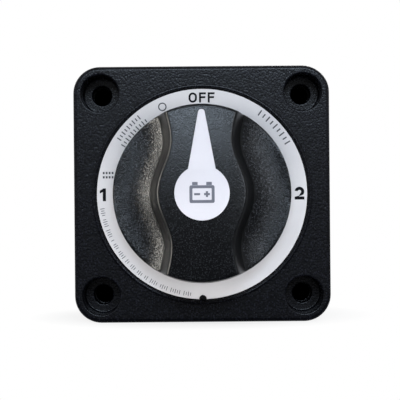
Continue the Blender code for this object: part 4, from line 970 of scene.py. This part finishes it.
def stud_nut(name, turn):
    """A hexagon nut with chamfered corners and a countersunk bore."""
    low, high = dial_box(f"stud_nut_{name}")
    flats, drop = mm(8.5, 1.15)
    corner = flats / math.cos(math.radians(30))
    body = plate(f"terminal_nut_{name}", [circle((0, 0), corner, 6)], low.z, high.z)
    flat, edge = flats * 0.97, corner + 0.1 * MM
    chamfer = [(0, low.z), (flat, low.z), (edge, low.z + drop), (edge, high.z - drop), (flat, high.z)]
    combine(body, "INTERSECT", [lathe("chamfer", chamfer + [(0, high.z)])])
    bore, sink = STUD_RADIUS + 0.1 * MM, 0.7 * MM
    mouth = bore + sink + MM
    hole = [(0, low.z - MM), (mouth, low.z - MM), (bore, low.z + sink), (bore, high.z - sink)]
    hole += [(mouth, high.z + MM), (0, high.z + MM)]
    cut(body, lathe("hole", hole, segments=64))
    body.data.transform(Matrix.Translation(TERMINALS[name]) @ Matrix.Rotation(turn, 4, "Z"))
    finished(soften(body, 0.12 * MM, angle=25), STEEL, f"stud_nut_{name}")


def flat_washer(name):
    low, high = dial_box(f"flat_washer_{name}")
    radius, edge, bore = (high.x - low.x) / 2, 0.35 * MM, STUD_RADIUS + 0.3 * MM
    profile = arc((radius - edge, high.z - edge), edge, 90, 0, 4)
    profile += arc((radius - edge, low.z + edge), edge, 0, -90, 4) + [(bore, low.z), (bore, high.z)]
    body = lathe(f"terminal_washer_{name}", profile, at=TERMINALS[name], closed=True)
    finished(shade(body, 50), TINNED, f"flat_washer_{name}")


def lock_washer(name, turn):
    """A split spring washer whose two ends stand slightly apart."""
    low, high = dial_box(f"lock_washer_{name}")
    outer, inner, edge = 8.6 * MM, STUD_RADIUS + 0.3 * MM, 0.25 * MM
    gap, steps, lift = math.radians(9), 96, 0.25 * MM
    half = (high.z - low.z) / 2 - lift
    section = [(inner, -half), (outer - edge, -half), (outer, -half + edge)]
    section += [(outer, half - edge), (outer - edge, half), (inner, half)]
    rings = []
    for i in range(steps + 1):
        angle = gap / 2 + (2 * math.pi - gap) * i / steps
        centre_z = (low.z + high.z) / 2 + lift * (1 - 2 * i / steps)
        rings.append([at_radius(radius, angle, centre_z + z) for radius, z in section])
    body = loft(f"terminal_lock_washer_{name}", rings, TERMINALS[name], turn)
    finished(shade(body, 40), STEEL, f"lock_washer_{name}")


def pan_screw(name, node, body, head_radius, shank_radius, head_towards_user):
    """A pan head screw with a cross recess and a thread."""
    low, high = dial_box(node)
    middle = dial_centre(node)
    head_height = 2.2 * MM
    length = high.z - low.z - head_height
    pitch, depth, chamfer = shank_radius * 0.45, shank_radius * 0.2, shank_radius * 0.5
    segments = 32
    rings = thread(length, 0, pitch, depth, shank_radius, shank_radius, chamfer, 10, segments)
    head = [(head_radius, 0)]
    head += [(head_radius * x, -head_height * (0.35 - 0.65 * y)) for x, y in arc((0, 0), 1.0, 0, -84, 7)]
    rings += [ring_at(radius, z, segments) for radius, z in head]
    rings.append([(0, 0, -head_height)])
    screw = loft(f"screw_{name}", rings)
    arm, width = head_radius * 0.55, head_radius * 0.13
    deep = (-head_height - MM, -head_height * 0.4)
    cross = box("cross", (-arm, arm), (-width, width), deep)
    join(cross, box("cross_other", (-width, width), (-arm, arm), deep))
    cut(screw, cross)
    seat_z = low.z + head_height
    if head_towards_user:
        seat_z = high.z - head_height
        screw.data.transform(Matrix.Rotation(math.pi, 4, "X"))
    screw.data.transform(Matrix.Translation((middle.x, middle.y, seat_z)))
    finished(shade(screw, 40), STEEL, node, body=body)


def spring(name, node, radius, wire, turns, lie_down=0):
    """A smooth coil in place of the CAD spring, laid down along X by a turn in degrees if asked."""
    low, high = dial_box(node)
    length = (high.x - low.x) if lie_down else (high.z - low.z)
    steps, sides = int(turns * 28), 10
    section = circle((0, 0), wire, sides)
    rings = []
    for i in range(steps + 1):
        out = at_radius(1, 2 * math.pi * turns * i / steps)
        rise = Vector((0, 0, wire + (length - 2 * wire) * i / steps - length / 2))
        rings.append([out * (radius + across) + rise + Vector((0, 0, up)) for across, up in section])
    coil = loft(f"coil_{name}", rings)
    turn = Matrix.Rotation(math.radians(lie_down), 4, "Y")
    coil.data.transform(Matrix.Translation(dial_centre(node)) @ turn)
    return finished(shade(coil, 50), STEEL, node, body="rotor")


def contact_spring(end):
    """A contact spring, with a mesh of its own."""
    node = f"contact_spring_{end}"
    coil = spring(f"contact_{end}", node, 2.8 * MM, 0.4 * MM, 3.5)
    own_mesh(coil)


# ---- carried-over CAD nodes


def carry_over(node, material, width):
    """Keeps a CAD node's shape, with softened edges and a finished material."""
    obj = frame["nodes"][node]
    paint(obj, material)
    obj.data.shade_smooth()
    obj.modifiers.new("weld", "WELD").merge_threshold = MM / 1000
    add_bevel(obj, width)
    obj.modifiers.new("normals", "WEIGHTED_NORMAL")


# ---- stage


def matte(name, colour):
    """A material without gloss, with its tree, shader and coordinates."""
    material, tree, shader, coords = new_material(name)
    shader.inputs["Base Color"].default_value = colour
    shader.inputs["Specular IOR Level"].default_value = 0.0
    return material, tree, shader, coords


def mix_shaders(tree, share, first, second):
    return add(tree, "MixShader", {0: share, 1: first.outputs[0], 2: second.outputs[0]})


def clear_where(tree, share, surface):
    """Makes a material's surface clear as far as the share says."""
    mixed = mix_shaders(tree, share, surface, add(tree, "BsdfTransparent"))
    tree.links.new(mixed.outputs[0], tree.nodes["Material Output"].inputs["Surface"])


def staged_disc(name, material, radius, vertices, place, tilt=0.0):
    bpy.ops.mesh.primitive_circle_add(
        vertices=vertices, radius=radius, fill_type="NGON", location=place, rotation=(tilt, 0, 0)
    )
    disc = bpy.context.object
    disc.name = name
    paint(disc, material)


def whitening_floor():
    """A pale floor that melts into the white background. Shadow rays and reflections pass through it."""
    material, tree, shader, coords = matte("floor_white", (0.9, 0.9, 0.905, 1))
    shader.inputs["Roughness"].default_value = 0.9
    distance = add(tree, "VectorMath", {0: coords}, operation="LENGTH").outputs["Value"]
    far = remap(tree, distance, 0.02, 0.05, 0.7, 1.0)
    path = add(tree, "LightPath")
    white = add(tree, "Emission", {"Color": (1, 1, 1, 1)})
    share = times(tree, far, path.outputs["Is Camera Ray"])
    passed = math_node(tree, "MAXIMUM", path.outputs["Is Shadow Ray"], path.outputs["Is Glossy Ray"])
    clear_where(tree, passed, mix_shaders(tree, share, shader, white))
    staged_disc("floor", material, 2.5, 96, (0, -FACE_Z / 2, CAD_LOW.z))


def studio_world():
    """White to the camera. It lights the switch from above and behind, and hardly from below in front."""
    world = bpy.data.worlds.new("studio")
    world.use_nodes = True
    tree = world.node_tree
    tree.nodes.clear()
    direction = add(tree, "TexCoord").outputs["Generated"]
    parts = add(tree, "SeparateXYZ", {0: direction}).outputs
    above = remap(tree, parts["Z"], -0.1, 0.03, 0.02, 0.32)
    behind = remap(tree, parts["Y"], -0.1, 0.4, 0.02, 0.32)
    glow = math_node(tree, "MAXIMUM", above, behind)
    soft = add(tree, "Background", {"Color": (0.93, 0.96, 1.0, 1), "Strength": glow})
    white = add(tree, "Background", {"Color": (1, 1, 1, 1)})
    mixed = mix_shaders(tree, add(tree, "LightPath").outputs["Is Camera Ray"], soft, white)
    tree.links.new(mixed.outputs[0], add(tree, "OutputWorld").inputs["Surface"])
    SCENE.world = world


def softbox(name, place, size, power, colour, receivers=None, target=(0, -FACE_Z, 0)):
    """A soft light, which lights only the receivers if they are given."""
    light = bpy.data.lights.new(name, "AREA")
    light.shape = "RECTANGLE"
    light.size, light.size_y = size
    light.energy = power
    light.color = colour
    obj = new_object(name, light)
    obj.location = place
    obj.rotation_euler = (Vector(target) - Vector(place)).to_track_quat("-Z", "Y").to_euler()
    obj.light_linking.receiver_collection = receivers


def light_group(name, prefixes):
    """A collection of the pieces whose names start with one of the prefixes."""
    group = bpy.data.collections.new(name)
    for obj in SCENE.objects:
        if obj.name.startswith(prefixes):
            group.objects.link(obj)
    return group


def studio_lights():
    """Light from above and behind for all, fill for the white print, and raking light for the knob."""
    knob_only = light_group("knob_group", ("grip_knob",))
    printed = light_group("print_group", ("dial_ring", "mark_", "pointer_plate", "battery_symbol"))
    sky, white = (0.70, 0.84, 1.0), (1.0, 1.0, 1.0)
    softbox("overhead", (0.04, -0.90, 0.36), (0.45, 0.16), 2.4, sky)
    softbox("behind", (0.3, 0.5, 0.45), (0.5, 0.4), 3.0, white, target=(0, 0, 0))
    softbox("fill_left", (-0.75, -0.48, 0.05), (0.4, 0.4), 2.9, (1.0, 0.98, 0.95), printed)
    softbox("fill_right", (0.75, -0.48, 0.05), (0.4, 0.4), 3.4, (0.95, 0.97, 1.0), printed)
    softbox("fill_below", (0.0, -0.36, -0.72), (0.5, 0.3), 4.0, white, printed)
    softbox("knob_raking", (-0.56, -0.121, 0.04), (0.06, 0.4), 2.8, (1.0, 0.96, 0.87), knob_only)
    softbox("knob_left", (-0.24, -0.86, 0.34), (0.12, 0.16), 0.9, sky, knob_only)
    softbox("knob_right", (0.46, -0.72, 0.10), (0.16, 0.3), 1.3, (0.85, 0.92, 1.0), knob_only)


def hole_shade_discs():
    """Black discs behind the mounting holes: painted shade that the holes show from the front, and which
    keeps light out of them. From behind, they are clear.
    """
    material, tree, shader, _ = matte("flag_black", (0, 0, 0, 1))
    clear_where(tree, add(tree, "NewGeometry").outputs["Backfacing"], shader)
    for where in HOLES:
        place = (where.x, 0.1 * MM, where.y)
        staged_disc("hole_flag", material, HOLE_RADIUS + 0.5 * MM, 24, place, math.radians(90))


def camera():
    """Square on to the dial, 0.35 m from the face, slightly below its centre and rolled half a degree."""
    distance, drop, pixels_per_metre = 0.350, 5 * MM, 3690.0
    sensor, image = 36.0, 400
    pixels_left, pixels_down = 2.2, 6.0
    data = bpy.data.cameras.new("camera")
    data.sensor_width = sensor
    data.lens = pixels_per_metre * distance * sensor / image
    data.clip_start = 0.01
    data.shift_x = -pixels_left / image
    data.shift_y = (drop * pixels_per_metre - pixels_down) / image
    obj = new_object("camera", data)
    obj.location = (0, -(FACE_Z + distance), -drop)
    obj.rotation_euler = (math.radians(90), math.radians(0.5), 0)
    SCENE.camera = obj


# ---- the model

front_housing()
legend_ring()
legend_print()
legend_scales()
knob()
pointer_insert()
battery_symbol()
rear_frame()
for side, angle in zip(("top", "left", "bottom", "right"), QUARTERS):
    side_panel(side, angle)
rear_cover()
for name, degrees in (("1", 20), ("2", 200), ("common", 110)):
    stud(name)
    stud_nut(name, math.radians(degrees / 3))
    flat_washer(name)
    lock_washer(name, math.radians(degrees))
for number in range(1, 5):
    node = f"base_screw_{number}"
    pan_screw(f"base_{number}", node, "housing", 2.7 * MM, 1.3 * MM, head_towards_user=False)
pan_screw("knob", "knob_screw", "rotor", 3.6 * MM, 1.9 * MM, head_towards_user=True)
for end in ("centre", "outer"):
    contact_spring(end)
for side, lie_down in (("left", -90), ("right", 90)):
    spring(f"detent_{side}", f"detent_spring_{side}", 1.5 * MM, 0.3 * MM, 4.5, lie_down)
for material, width, *nodes in (
    (DARK, 0.25, "contact_base"),
    (RUBBER, 0.2, "base_gasket"),
    (COPPER, 0.25, "common_bus"),
    (COPPER, 0.3, "contact_arm"),
    (SILVER, 0.2, "contact_tip_centre", "contact_tip_outer"),
    (NYLON, 0.25, "rotor"),
    (RUBBER, 0.05, "shaft_o_ring"),
    (STEEL, 0.15, "detent_plunger_left", "detent_plunger_right"),
):
    for node in nodes:
        carry_over(node, material, width * MM)

whitening_floor()
studio_world()
studio_lights()
hole_shade_discs()
camera()
SCENE.view_settings.view_transform = "Standard"
